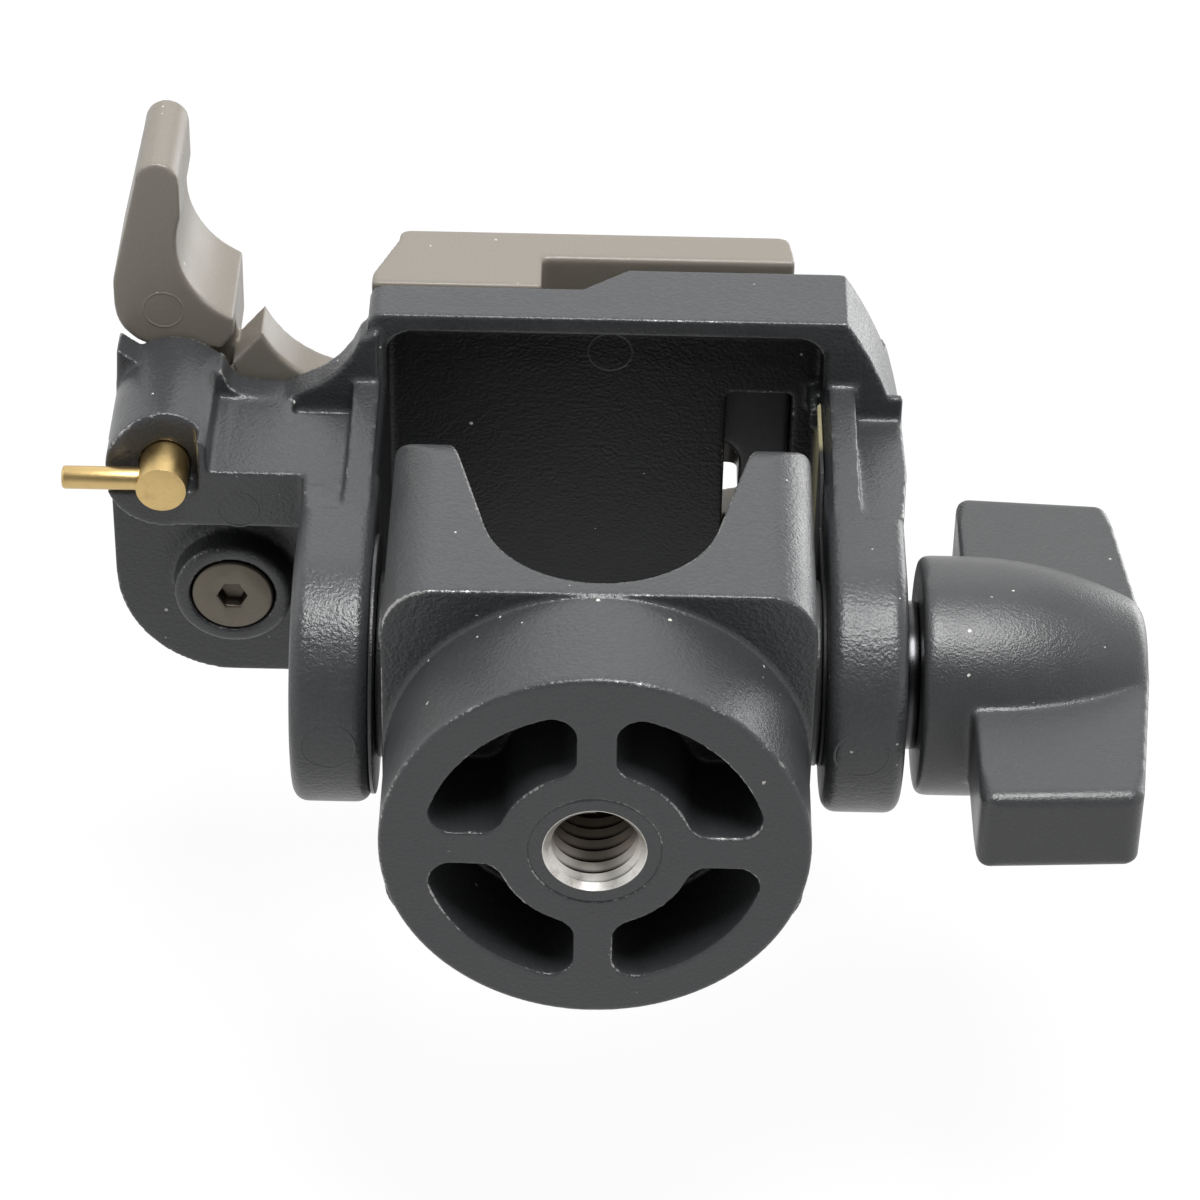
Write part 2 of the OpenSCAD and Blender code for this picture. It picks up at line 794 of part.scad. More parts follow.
module plate_body() {
    color(taupe)
        difference() {
            union() {
                along_y(plate_front, plate_back) plate_section();
                // front end, nearly upright on the right
                along_y(plate_front, plate_front + 8.6)
                    polygon([[0, deck_top + 1], [plate_right + 0.75, deck_top + 1],
                        [plate_right - 0.35, plate_top - 0.9], [plate_right - 0.7, plate_top - 0.25],
                        [plate_right - 1.3, plate_top], [0, plate_top]]);
            }
            // front notch over the stop of the platform
            translate([-6.5, plate_front - 1, deck_top - 1]) cube([plate_w, 10.4, notch_rise + 1]);
            // seam along the foot of the front face
            translate([plate_left - 1, plate_front - 1, deck_top - 1]) cube([plate_w, 3.5, seam_h + 1]);
            // pocket below for the screw and its ring
            along_z(deck_top - 1, pocket_top)
                soft_rect(-plate_x - pocket_half, slot_y - 10.2, -plate_x + pocket_half, slot_y + 10.2, 3);
            // slot for the camera screw
            along_z(deck_top, plate_top + 1)
                soft_rect(-plate_x - slot_half - screw_slot_w / 2, slot_y - screw_slot_w / 2,
                    -plate_x + slot_half + screw_slot_w / 2, slot_y + screw_slot_w / 2,
                    screw_slot_w / 2 - 0.01);
        }
}

// one of the two pads beside the screw slot
module plate_pad(y0, y1) {
    color(rubber)
        along_z(plate_top, pad_top)
            soft_rect(plate_left + bevel_in + 2, y0, plate_right - bevel_in - 2, y1, 2);
}

module plate_pad_front() {
    plate_pad(plate_front + 2, slot_y - screw_slot_w / 2 - 1);
}

module plate_pad_back() {
    plate_pad(slot_y + screw_slot_w / 2 + 1, plate_back - 2);
}

module camera_screw() {
    color(steel)
        translate([-plate_x, slot_y, 0])
            difference() {
                union() {
                    translate([0, 0, head_z]) cylinder(r = head_r, h = pocket_top - washer_h - head_z);
                    translate([0, 0, head_z]) cylinder(r = neck_d / 2, h = pad_top - head_z + 0.1);
                    translate([0, 0, pad_top]) cylinder(r = stud_r, h = stud_h - stud_tip);
                    translate([0, 0, pad_top + stud_h - stud_tip])
                        cylinder(r1 = stud_r, r2 = stud_r - stud_tip, h = stud_tip);
                }
                // coin slot
                translate([-head_r - 1, -0.8, head_z - 1]) cube([2 * head_r + 2, 1.6, 1.9]);
            }
}

module screw_washer() {
    color(steel)
        translate([-plate_x, slot_y, pocket_top - washer_h])
            difference() {
                cylinder(r = washer_r, h = washer_h);
                translate([0, 0, -1]) cylinder(r = neck_d / 2 + run_gap, h = washer_h + 2);
            }
}

module screw_clip() {
    color(dark_steel)
        translate([-plate_x, slot_y, plate_top - 1.2])
            difference() {
                cylinder(r = screw_slot_w / 2 - 0.05, h = clip_h);
                translate([0, 0, -1]) cylinder(r = neck_d / 2, h = clip_h + 2);
            }
}

// folding ring, lying flat under the screw head
module screw_ring() {
    color(steel)
        translate([-plate_x, slot_y, head_z - ring_wire])
            difference() {
                cylinder(r = ring_r, h = ring_wire);
                translate([0, 0, -1]) cylinder(r = ring_r - ring_wire, h = ring_wire + 2);
            }
}

base_fork();
thread_insert();
ear_bush_left();
ear_bush_right();
yoke_casting();
friction_liner();
friction_washer();
tilt_bolt();
knob_collar();
knob_body();
knob_insert();
lever();
lever_screw();
lever_washer();
lever_spring();
catch_post();
catch_rod();
catch_spring();
trigger_pin();
trigger_spring();
plate_body();
plate_pad_front();
plate_pad_back();
camera_screw();
screw_washer();
screw_clip();
screw_ring();
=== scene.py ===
"""Looks of a monopod tilt head with a cam-lever clamp: dressed meshes and finishes on its frame.

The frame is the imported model's, in metres: Z is up along the base thread, X is the tilt axis with the
knob at +X, and the front of the head faces -Y. Finishes and the studio are in metres. Sizes of pieces
and sub-assemblies are in millimetres and degrees where nothing else is said.
"""
import logging
import math
from dataclasses import dataclass, replace
from enum import Enum
from typing import Callable, Optional, Sequence, Union

import bmesh
import bpy
import numpy as np
from mathutils import Matrix, Vector


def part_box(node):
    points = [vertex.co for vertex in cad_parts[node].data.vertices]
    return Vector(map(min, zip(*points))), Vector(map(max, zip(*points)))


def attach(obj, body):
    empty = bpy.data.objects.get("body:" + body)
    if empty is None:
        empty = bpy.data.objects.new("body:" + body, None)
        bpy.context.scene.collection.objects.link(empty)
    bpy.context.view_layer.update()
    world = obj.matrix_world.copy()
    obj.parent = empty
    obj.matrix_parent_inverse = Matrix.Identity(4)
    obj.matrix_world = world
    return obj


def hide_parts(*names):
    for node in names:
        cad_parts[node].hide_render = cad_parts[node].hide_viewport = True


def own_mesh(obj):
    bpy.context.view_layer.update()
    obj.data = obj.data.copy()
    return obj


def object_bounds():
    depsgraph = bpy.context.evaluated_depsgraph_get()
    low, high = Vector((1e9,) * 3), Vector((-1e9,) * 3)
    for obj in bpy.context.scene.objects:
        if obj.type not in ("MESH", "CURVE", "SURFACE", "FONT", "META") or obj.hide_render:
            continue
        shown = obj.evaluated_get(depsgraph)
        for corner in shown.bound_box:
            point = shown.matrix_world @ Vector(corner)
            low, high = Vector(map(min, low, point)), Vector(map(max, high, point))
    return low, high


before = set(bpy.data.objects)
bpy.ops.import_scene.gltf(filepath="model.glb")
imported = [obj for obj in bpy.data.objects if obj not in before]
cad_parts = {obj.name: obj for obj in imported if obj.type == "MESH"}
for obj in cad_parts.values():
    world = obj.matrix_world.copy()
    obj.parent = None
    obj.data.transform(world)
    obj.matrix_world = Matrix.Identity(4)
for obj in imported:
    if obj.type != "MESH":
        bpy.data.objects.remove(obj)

CAD_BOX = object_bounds()
MM = 0.001

Color = tuple[float, float, float]
Point = tuple[float, float, float]
Span = tuple[float, float]
Input = Union[float, bpy.types.NodeSocket]
Feeds = dict[Union[int, str], object]

# point attributes that the finishes read: edge wear, and the painted shade inside the yoke's mouth
WEAR = "wear"
RECESS_SHADE = "recess_shade"

# numbers of the colour sockets of a mix node
MIX_FIRST = 6
MIX_SECOND = 7
MIX_RESULT = 2

# specks: stray of their outline in radii, power that makes large ones rare, least size, solid core
SPECK_RAGGED = 1.4
SPECK_RARITY = 4.0
SPECK_LEAST = 0.02
SPECK_CORE = 0.7

# coats: sizes of their patterns in metres, bands of noise, how far these change the coat, and colours
BLOTCH_SIZE = 7 * MM
PATCH_SIZE = 9 * MM
CHIP_SIZE = 0.4 * MM
LINT_SPACING = 2.2 * MM
LINT_R = 0.22 * MM
MIDDLE_BAND = (0.3, 0.7)
FLECK_BAND = (0.42, 0.75)
PATCH_BAND = (0.4, 0.6)
CHIP_BAND = (0.62, 0.92)
FLECK_LIFT = 2.2
ROUGH_SPREAD = 0.06
# painted shade: share of the coat's specular level that is left inside the shaded recess
RECESS_SHADE_SHEEN = 0.5
PATCH_DROP = 0.6
CHIP_SPREAD = 0.3
LINT = (0.6, 0.59, 0.55)
# near-black of the painted shade below a height on a coat
SHADE_BLACK = (0.012, 0.012, 0.012)

# bare metal: stains, tool marks, the dirt of a thread from one height in metres to another, and painted shade
# in its grooves
STAIN_SIZE = 1.6 * MM
STAIN_BAND = (0.5, 0.75)
GRIME_COVER = 0.86
MARK_BAND = (0.2, 0.8)
MARK_SHARE = 0.22
MARK_SHADE = 0.62
MARK_GLOSS = 0.08
MARK_DULL = 0.1
GROOVE_START = (0.7 * MM, 1.0 * MM)
GROOVE_SHADE = (0.012, 0.01, 0.008)

# meshes: sides, section of a ring mark in millimetres, angles in degrees, weld in metres, edge wear
WIRE_SIDES = 12
DIAMOND_SIDES = 4
TURN_STEPS = 64
RING_SIDES = 72
RING_SECTION = ((-0.15, -0.03), (-0.04, 0.04), (0.04, 0.04), (0.15, -0.03))
EDGE_SEGMENTS = 2
EDGE_ANGLE = 35.0
PAD_ANGLE = 30.0
THREAD_CREASE = 30.0
FLAT_ANGLE = 0.5
WELD = 0.001 * MM
TINY_AREA = 1e-12
BEND_BLURS = 2

log = logging.getLogger("tilt_head")


class Slot(Enum):
    """Material slots of the part."""

    CAST = "cast_black"
    PLASTIC = "plastic_black"
    TAUPE = "taupe_paint"
    BRIGHT = "steel_bright"
    DARK = "steel_dark"
    BRASS = "brass"
    LINER = "liner_tan"
    PAD = "pad_rubber"


class NodeKit:
    """Adds nodes to one tree and joins them."""

    def __init__(self, tree: bpy.types.NodeTree) -> None:
        """Keeps the tree, emptied of what it held."""
        self.tree = tree
        tree.nodes.clear()

    def add(self, kind: str, feeds: Optional[Feeds] = None, **settings: object) -> bpy.types.Node:
        """Adds one node.

        Args:
            kind: Blender's name of the node type.
            feeds: what its inputs get, by their name or number.
            settings: properties to set on the node.

        Returns:
            The new node.
        """
        node = self.tree.nodes.new(kind)
        for key, value in settings.items():
            setattr(node, key, value)
        for key, value in (feeds or {}).items():
            self.feed(node.inputs[key], value)
        return node

    def feed(self, target: bpy.types.NodeSocket, value: object) -> None:
        """Links a socket to the target, or sets the target's own value.

        Args:
            target: the input socket.
            value: an output socket, or a plain value.
        """
        if isinstance(value, bpy.types.NodeSocket):
            self.tree.links.new(value, target)
        else:
            target.default_value = value

    def math(self, operation: str, a: Input, b: Input = 0.0, clamp: bool = False) -> bpy.types.NodeSocket:
        """Returns the result of one math operation, held from 0 to 1 if clamp is set."""
        return self.add("ShaderNodeMath", {0: a, 1: b}, operation=operation, use_clamp=clamp).outputs[0]

    def place(self) -> bpy.types.NodeSocket:
        """Returns the surface point in the part's frame."""
        return self.add("ShaderNodeTexCoord").outputs["Object"]

    def height(self) -> bpy.types.NodeSocket:
        """Returns the height of the surface point in the part's frame."""
        return self.add("ShaderNodeSeparateXYZ", {0: self.place()}).outputs["Z"]

    def reach(self) -> bpy.types.NodeSocket:
        """Returns the distance of the surface point from the axis of the base thread."""
        flat = self.add("ShaderNodeVectorMath", {0: self.place(), 1: (1.0, 1.0, 0.0)}, operation="MULTIPLY")
        return self.add("ShaderNodeVectorMath", {0: flat.outputs[0]}, operation="LENGTH").outputs["Value"]

    def noise(self, size: float, detail: float, rough: float) -> bpy.types.NodeSocket:
        """Returns a noise from 0 to 1, by its blobs' size in metres, its finer layers and their share."""
        feeds = {"Vector": self.place(), "Scale": 1.0 / size, "Detail": detail, "Roughness": rough}
        return self.add("ShaderNodeTexNoise", feeds).outputs["Fac"]

    def specks(self, spacing: float, radius: float) -> bpy.types.NodeSocket:
        """Scatters ragged specks of random size.

        Args:
            spacing: side of the cells that hold one speck each, in metres.
            radius: radius of the largest specks, in metres.

        Returns:
            The mask, 1 inside the specks and 0 elsewhere.
        """
        ragged = self.add("ShaderNodeTexNoise", {"Vector": self.place(), "Scale": 1.0 / radius})
        stray = self.add("ShaderNodeVectorMath", {0: ragged.outputs["Color"], "Scale": SPECK_RAGGED * radius},
                         operation="SCALE")
        moved = self.add("ShaderNodeVectorMath", {0: self.place(), 1: stray.outputs[0]}, operation="ADD")
        cells = self.add("ShaderNodeTexVoronoi", {"Vector": moved.outputs[0], "Scale": 1.0 / spacing},
                         feature="F1")
        chance = self.add("ShaderNodeSeparateColor", {0: cells.outputs["Color"]}).outputs[0]
        size = self.math("MAXIMUM", self.math("POWER", chance, SPECK_RARITY), SPECK_LEAST)
        share = radius / spacing
        return self.ramp(self.math("DIVIDE", cells.outputs["Distance"], size), share, SPECK_CORE * share)

    def ramp(self, value: Input, low: float, high: float, out_low: Input = 0.0,
             out_high: Input = 1.0) -> bpy.types.NodeSocket:
        """Returns a value mapped from low..high to out_low..out_high, held at both ends."""
        feeds = dict(enumerate((value, low, high, out_low, out_high)))
        return self.add("ShaderNodeMapRange", feeds, clamp=True).outputs[0]

    def mix(self, share: Input, first: object, second: object) -> bpy.types.NodeSocket:
        """Returns two colours mixed, by the share of the second from 0 to 1."""
        feeds = {0: share, MIX_FIRST: first, MIX_SECOND: second}
        return self.add("ShaderNodeMix", feeds, data_type="RGBA").outputs[MIX_RESULT]

    def bump(self, height: Input, depth: float,
             below: Optional[bpy.types.NodeSocket] = None) -> bpy.types.NodeSocket:
        """Bends the normal by a height.

        Args:
            height: height from 0 to 1.
            depth: what a height of 1 stands for, in metres.
            below: normal of a coarser bump that this one lies on.

        Returns:
            The bent normal.
        """
        node = self.add("ShaderNodeBump", {"Strength": 1.0, "Distance": depth, "Height": height})
        if below is not None:
            self.feed(node.inputs["Normal"], below)
        return node.outputs[0]


def rgba(color: Color) -> tuple[float, float, float, float]:
    """Returns a colour with full opacity."""
    return (*color, 1.0)


def shade(color: Color, factor: float) -> tuple[float, float, float, float]:
    """Returns a colour made lighter or darker by a factor, with full opacity."""
    return rgba(tuple(min(1.0, channel * factor) for channel in color))


@dataclass(frozen=True)
class Finish:
    """A surface finish that becomes a node material."""

    name: str
    color: Color
    roughness: float

    def material(self) -> bpy.types.Material:
        """Returns the finish as a node material, made once."""
        label = f"{self.name}_finish"
        found = bpy.data.materials.get(label)
        if found:
            return found
        made = bpy.data.materials.new(label)
        made.use_nodes = True
        kit = NodeKit(made.node_tree)
        shader = kit.add("ShaderNodeBsdfPrincipled")
        self.paint(kit, shader)
        kit.add("ShaderNodeOutputMaterial", {"Surface": shader.outputs[0]})
        return made

    def paint(self, kit: NodeKit, shader: bpy.types.Node) -> None:
        """Adds the nodes of one kind of finish."""
        raise NotImplementedError


@dataclass(frozen=True)
class Coat(Finish):
    """A coat or moulded skin: grain, blotches, worn edges, dust, painted shade below a height and in a
    recess.
    """

    grain: float = 0.35 * MM
    grain_depth: float = 0.035 * MM
    peel: float = 1.1 * MM
    peel_depth: float = 0.03 * MM
    blotch: float = 0.14
    fleck: float = 0.2
    bare: Color = (0.4, 0.4, 0.39)
    wear: float = 0.0
    dust: float = 0.0
    specular: float = 0.5
    grime_and_shade: Optional[Span] = None
    recess_shade: float = 1.0

    def paint(self, kit: NodeKit, shader: bpy.types.Node) -> None:
        """Adds the coat's nodes.

        Args:
            kit: kit of the material's tree.
            shader: shader that takes the colour, roughness and normal.
        """
        shader.inputs["Specular IOR Level"].default_value = self.specular
        blotches = kit.noise(BLOTCH_SIZE, detail=3.0, rough=0.6)
        grain = kit.noise(self.grain, detail=2.0, rough=0.6)
        tone = kit.mix(blotches, shade(self.color, 1 - self.blotch), shade(self.color, 1 + self.blotch))
        tone = kit.mix(kit.ramp(grain, *FLECK_BAND, 0.0, self.fleck), tone, shade(self.color, FLECK_LIFT))
        rough = kit.ramp(blotches, *MIDDLE_BAND, self.roughness - ROUGH_SPREAD, self.roughness + ROUGH_SPREAD)
        # painted shade: below the given heights the coat is painted near-black
        if self.grime_and_shade:
            tone = kit.mix(kit.ramp(kit.height(), *self.grime_and_shade), rgba(SHADE_BLACK), tone)
        # painted shade: inside the yoke's mouth the coat is painted darker and reflects less
        if self.recess_shade < 1.0:
            shaded = kit.add("ShaderNodeAttribute", attribute_name=RECESS_SHADE).outputs["Fac"]
            tone = kit.mix(shaded, tone, shade(self.color, self.recess_shade))
            sheen = kit.ramp(shaded, 0.0, 1.0, self.specular, RECESS_SHADE_SHEEN * self.specular)
            kit.feed(shader.inputs["Specular IOR Level"], sheen)
        if self.dust:
            lint = kit.math("MULTIPLY", kit.specks(LINT_SPACING, LINT_R), self.dust, clamp=True)
            tone = kit.mix(lint, tone, rgba(LINT))
        if self.wear:
            chips = self.chips(kit)
            tone = kit.mix(chips, tone, rgba(self.bare))
            kit.feed(shader.inputs["Metallic"], chips)
        kit.feed(shader.inputs["Base Color"], tone)
        kit.feed(shader.inputs["Roughness"], rough)
        normal = kit.bump(kit.noise(self.peel, detail=1.5, rough=0.5), self.peel_depth)
        kit.feed(shader.inputs["Normal"], kit.bump(grain, self.grain_depth, normal))

    def chips(self, kit: NodeKit) -> bpy.types.NodeSocket:
        """Finds where the coat is chipped off worn edges, in patches.

        Args:
            kit: kit of the material's tree.

        Returns:
            The share of bare metal.
        """
        edge = kit.add("ShaderNodeAttribute", attribute_name=WEAR).outputs["Fac"]
        patch = kit.ramp(kit.noise(PATCH_SIZE, detail=2.0, rough=0.5), *PATCH_BAND, -PATCH_DROP, 0.0)
        ragged = kit.noise(CHIP_SIZE, detail=3.0, rough=0.7)
        worn = kit.math("ADD", edge, kit.ramp(ragged, *MIDDLE_BAND, -CHIP_SPREAD, CHIP_SPREAD))
        return kit.ramp(kit.math("ADD", worn, patch), *CHIP_BAND, 0.0, self.wear)


@dataclass(frozen=True)
class Metal(Finish):
    """Bare metal with fine tool marks and stains, thread dirt that grows with height, and painted shade in
    the thread's grooves.
    """

    stain: Color = (0.1, 0.09, 0.08)
    stain_share: float = 0.25
    mark: float = 0.12 * MM
    mark_depth: float = 0.004 * MM
    grime_and_shade: Optional[Span] = None
    groove: Optional[Span] = None

    def paint(self, kit: NodeKit, shader: bpy.types.Node) -> None:
        """Adds the metal's nodes.

        Args:
            kit: kit of the material's tree.
            shader: shader that takes the colour, roughness and normal.
        """
        shader.inputs["Metallic"].default_value = 1.0
        stains = kit.ramp(kit.noise(STAIN_SIZE, detail=5.0, rough=0.7), *STAIN_BAND, 0.0, self.stain_share)
        if self.grime_and_shade:
            stains = kit.math("MAXIMUM", stains, kit.ramp(kit.height(), *self.grime_and_shade, 0.0, GRIME_COVER))
        marks = kit.noise(self.mark, detail=3.0, rough=0.7)
        tone = kit.mix(stains, rgba(self.color), rgba(self.stain))
        tone = kit.mix(kit.ramp(marks, *MIDDLE_BAND, 0.0, MARK_SHARE), tone, shade(self.color, MARK_SHADE))
        # painted shade: past the mouth, the thread's roots within the groove radii are painted near-black
        if self.groove:
            inside = kit.ramp(kit.height(), *GROOVE_START)
            groove_shade = kit.math("MULTIPLY", kit.ramp(kit.reach(), *self.groove), inside)
            tone = kit.mix(groove_shade, tone, rgba(GROOVE_SHADE))
        kit.feed(shader.inputs["Base Color"], tone)
        rough = kit.ramp(marks, *MARK_BAND, self.roughness - MARK_GLOSS, self.roughness + MARK_DULL)
        kit.feed(shader.inputs["Roughness"], rough)
        kit.feed(shader.inputs["Normal"], kit.bump(marks, self.mark_depth))


# painted shade: the inside of the yoke's mouth is painted at 0.3 of this coat's colour
CAST_BLACK = Coat("cast_black", (0.0335, 0.035, 0.037), 0.34, grain=0.38 * MM, grain_depth=0.09 * MM,
                  wear=0.8, dust=0.8, recess_shade=0.3)
PLASTIC_BLACK = Coat("plastic_black", (0.034, 0.035, 0.0365), 0.32, grain=0.25 * MM, grain_depth=0.055 * MM,
                     peel=2.5 * MM, peel_depth=0.02 * MM, blotch=0.1, dust=0.8)
TAUPE_PAINT = Coat("taupe_paint", (0.176, 0.158, 0.132), 0.4, grain=0.25 * MM, grain_depth=0.012 * MM,
                   peel=0.9 * MM, peel_depth=0.015 * MM, blotch=0.07, fleck=0.1, wear=0.3, dust=0.7)
# painted shade: the plate is painted near-black on its underside, below 60.35 to 60.8 mm
PLATE_PAINT = replace(TAUPE_PAINT, name="plate_paint", grime_and_shade=(60.35 * MM, 60.8 * MM))
# painted shade: the liner is painted near-black below 46.5 to 48 mm, where it lies deep in the slot
LINER_TAN = Coat("liner_tan", (0.22, 0.2, 0.12), 0.55, blotch=0.1, grime_and_shade=(46.5 * MM, 48 * MM))
PAD_RUBBER = Coat("pad_rubber", (0.03, 0.03, 0.03), 0.8, grain_depth=0.05 * MM, blotch=0.2, specular=0.3)
BRIGHT_STEEL = Metal("steel_bright", (0.6, 0.59, 0.57), 0.3)
DARK_STEEL = Metal("steel_dark", (0.14, 0.125, 0.1), 0.42, stain_share=0.5)
# painted shade: a near-black steel for the knob's collar, which sits in the dark gap between arm and knob
SHADED_STEEL = Metal("shaded_steel", (0.06, 0.06, 0.063), 0.22)
# painted shade: the thread's roots are painted near-black, fading in from 4.45 to 4.66 mm off the axis
THREAD_STEEL = Metal("thread_steel", (0.78, 0.76, 0.72), 0.36, stain=(0.23, 0.18, 0.13), stain_share=0.6,
                     mark=0.2 * MM, mark_depth=0.012 * MM, grime_and_shade=(0.6 * MM, 5 * MM),
                     groove=(4.45 * MM, 4.66 * MM))
BRASS = Metal("brass", (0.62, 0.45, 0.2), 0.34, stain=(0.22, 0.14, 0.06), stain_share=0.35)

FINISHES: dict[Slot, Finish] = {
    Slot.CAST: CAST_BLACK,
    Slot.PLASTIC: PLASTIC_BLACK,
    Slot.TAUPE: TAUPE_PAINT,
    Slot.BRIGHT: BRIGHT_STEEL,
    Slot.DARK: DARK_STEEL,
    Slot.BRASS: BRASS,
    Slot.LINER: LINER_TAN,
    Slot.PAD: PAD_RUBBER,
}


def link_object(name: str, data: bpy.types.ID) -> bpy.types.Object:
    """Puts a mesh, a lamp or a camera in the scene.

    Args:
        name: name of the object.
        data: what it holds.

    Returns:
        The new object.
    """
    made = bpy.data.objects.new(name, data)
    bpy.context.scene.collection.objects.link(made)
    return made


def close_shell(name: str, shell: bmesh.types.BMesh) -> bpy.types.Mesh:
    """Makes a mesh of a shell and frees the shell.

    Args:
        name: name of the mesh.
        shell: the shell.

    Returns:
        The mesh.
    """
    mesh = bpy.data.meshes.new(name)
    shell.to_mesh(mesh)
    shell.free()
    return mesh


def lathe(name: str, outline: Sequence[Span], steps: int = 96) -> bpy.types.Mesh:
    """Turns an outline about Z.

    Args:
        name: name of the mesh.
        outline: points as (radius, height), in millimetres.
        steps: sides of the round.

    Returns:
        The turned mesh.
    """
    shell = bmesh.new()
    points = [shell.verts.new((radius * MM, 0.0, height * MM)) for radius, height in outline]
    edges = [shell.edges.new(pair) for pair in zip(points, points[1:])]
    bmesh.ops.spin(shell, geom=points + edges, cent=(0, 0, 0), axis=(0, 0, 1), angle=2 * math.pi,
                   steps=steps)
    bmesh.ops.remove_doubles(shell, verts=shell.verts, dist=WELD / 2)
    bmesh.ops.recalc_face_normals(shell, faces=shell.faces)
    return close_shell(name, shell)


def join(name: str, *parts: tuple[bpy.types.Mesh, Matrix]) -> bpy.types.Object:
    """Makes one object of several meshes.

    Args:
        name: name of the object.
        parts: the meshes, each with its place.

    Returns:
        The object.
    """
    shell = bmesh.new()
    for mesh, seat in parts:
        mesh.transform(seat)
        shell.from_mesh(mesh)
        bpy.data.meshes.remove(mesh)
    return link_object(name, close_shell(name, shell))


def settle(piece: bpy.types.Object) -> None:
    """Turns a piece's modifiers into its plain mesh.

    Args:
        piece: the piece.
    """
    shape = piece.evaluated_get(bpy.context.evaluated_depsgraph_get())
    mesh = bpy.data.meshes.new_from_object(shape)
    piece.modifiers.clear()
    old = piece.data
    piece.data = mesh
    bpy.data.meshes.remove(old)


def crease(piece: bpy.types.Object, angle: float = 40.0) -> None:
    """Shades a piece smooth except across edges sharper than an angle in degrees."""
    piece.data.shade_smooth()
    piece.data.set_sharp_from_angle(angle=math.radians(angle))


def shift(x: float, y: float, z: float) -> Matrix:
    """Returns a move given in millimetres."""
    return Matrix.Translation(Vector((x, y, z)) * MM)


def new_group(name: str, inputs: Sequence[tuple[str, str]]) -> tuple[bpy.types.NodeTree, NodeKit]:
    """Starts a geometry node tree.

    Args:
        name: name of the tree.
        inputs: its inputs as (name, socket type).
    """
    group = bpy.data.node_groups.new(name, "GeometryNodeTree")
    group.interface.new_socket("Geometry", in_out="OUTPUT", socket_type="NodeSocketGeometry")
    for label, kind in inputs:
        group.interface.new_socket(label, in_out="INPUT", socket_type=kind)
    return group, NodeKit(group)


def close_group(kit: NodeKit, shape: bpy.types.NodeSocket, finish: bpy.types.NodeSocket) -> None:
    """Ends a geometry node tree with real geometry and its material.

    Args:
        kit: kit of the tree.
        shape: geometry that the tree makes.
        finish: material that it gets.
    """
    real = kit.add("GeometryNodeRealizeInstances", {0: shape})
    dressed = kit.add("GeometryNodeSetMaterial", {"Geometry": real.outputs[0], "Material": finish})
    kit.add("NodeGroupOutput", {0: dressed.outputs[0]})


def grow(name: str, group: bpy.types.NodeTree, **values: object) -> bpy.types.Mesh:
    """Runs a geometry node tree once.

    Args:
        name: name of the mesh.
        group: the tree.
        values: its inputs by name.

    Returns:
        The plain mesh that the tree makes.
    """
    piece = link_object(name, bpy.data.meshes.new(name))
    run = piece.modifiers.new(name, "NODES")
    run.node_group = group
    for item in group.interface.items_tree:
        if item.item_type == "SOCKET" and item.in_out == "INPUT":
            run[item.identifier] = values[item.name]
    settle(piece)
    mesh = piece.data
    bpy.data.objects.remove(piece)
    return mesh


@dataclass(frozen=True)
class Helix:
    """A right-handed ridge or wire swept along a helix about Z."""

    radius: float
    height: float
    turns: float
    section: float
    sides: int

    @staticmethod
    def group() -> bpy.types.NodeTree:
        """Returns the tree that sweeps a round or diamond section along a helix, made once."""
        found = bpy.data.node_groups.get("helix_sweep")
        if found:
            return found
        group, kit = new_group("helix_sweep", (
            ("Radius", "NodeSocketFloat"), ("Height", "NodeSocketFloat"), ("Turns", "NodeSocketFloat"),
            ("Section", "NodeSocketFloat"), ("Sides", "NodeSocketInt"), ("Finish", "NodeSocketMaterial")))
        given = kit.add("NodeGroupInput").outputs
        spiral = kit.add("GeometryNodeCurveSpiral", {
            "Resolution": TURN_STEPS, "Rotations": given["Turns"], "Start Radius": given["Radius"],
            "End Radius": given["Radius"], "Height": given["Height"]})
        upright = kit.add("GeometryNodeSetCurveNormal", {"Curve": spiral.outputs[0]}, mode="Z_UP")
        section = kit.add("GeometryNodeCurvePrimitiveCircle", {
            "Resolution": given["Sides"], "Radius": given["Section"]})
        sweep = kit.add("GeometryNodeCurveToMesh", {
            "Curve": upright.outputs[0], "Profile Curve": section.outputs[0], "Fill Caps": True})
        close_group(kit, sweep.outputs[0], given["Finish"])
        return group

    def mesh(self, name: str, slot: Slot) -> bpy.types.Mesh:
        """Returns the swept mesh in the finish of a slot."""
        return grow(name, self.group(), Radius=self.radius * MM, Height=self.height * MM, Turns=self.turns,
                    Section=self.section * MM, Sides=self.sides, Finish=FINISHES[slot].material())


@dataclass(frozen=True)
class RibRow:
    """A row of equal ribs along Y, in metres."""

    count: int
    step: float
    size: Point

    @staticmethod
    def group() -> bpy.types.NodeTree:
        """Returns the tree that sets ribs along a line, made once."""
        found = bpy.data.node_groups.get("rib_row")
        if found:
            return found
        group, kit = new_group("rib_row", (
            ("Count", "NodeSocketInt"), ("Step", "NodeSocketFloat"), ("Size", "NodeSocketVector"),
            ("Finish", "NodeSocketMaterial")))
        given = kit.add("NodeGroupInput").outputs
        along = kit.add("ShaderNodeCombineXYZ", {"Y": given["Step"]})
        line = kit.add("GeometryNodeMeshLine", {"Count": given["Count"], "Offset": along.outputs[0]})
        rib = kit.add("GeometryNodeMeshCube", {"Size": given["Size"]})
        copies = kit.add("GeometryNodeInstanceOnPoints", {
            "Points": line.outputs[0], "Instance": rib.outputs[0]})
        close_group(kit, copies.outputs[0], given["Finish"])
        return group

    def mesh(self, name: str, slot: Slot) -> bpy.types.Mesh:
        """Returns the row of ribs, the first one at the origin, in the finish of a slot."""
        return grow(name, self.group(), Count=self.count, Step=self.step, Size=self.size,
                    Finish=FINISHES[slot].material())


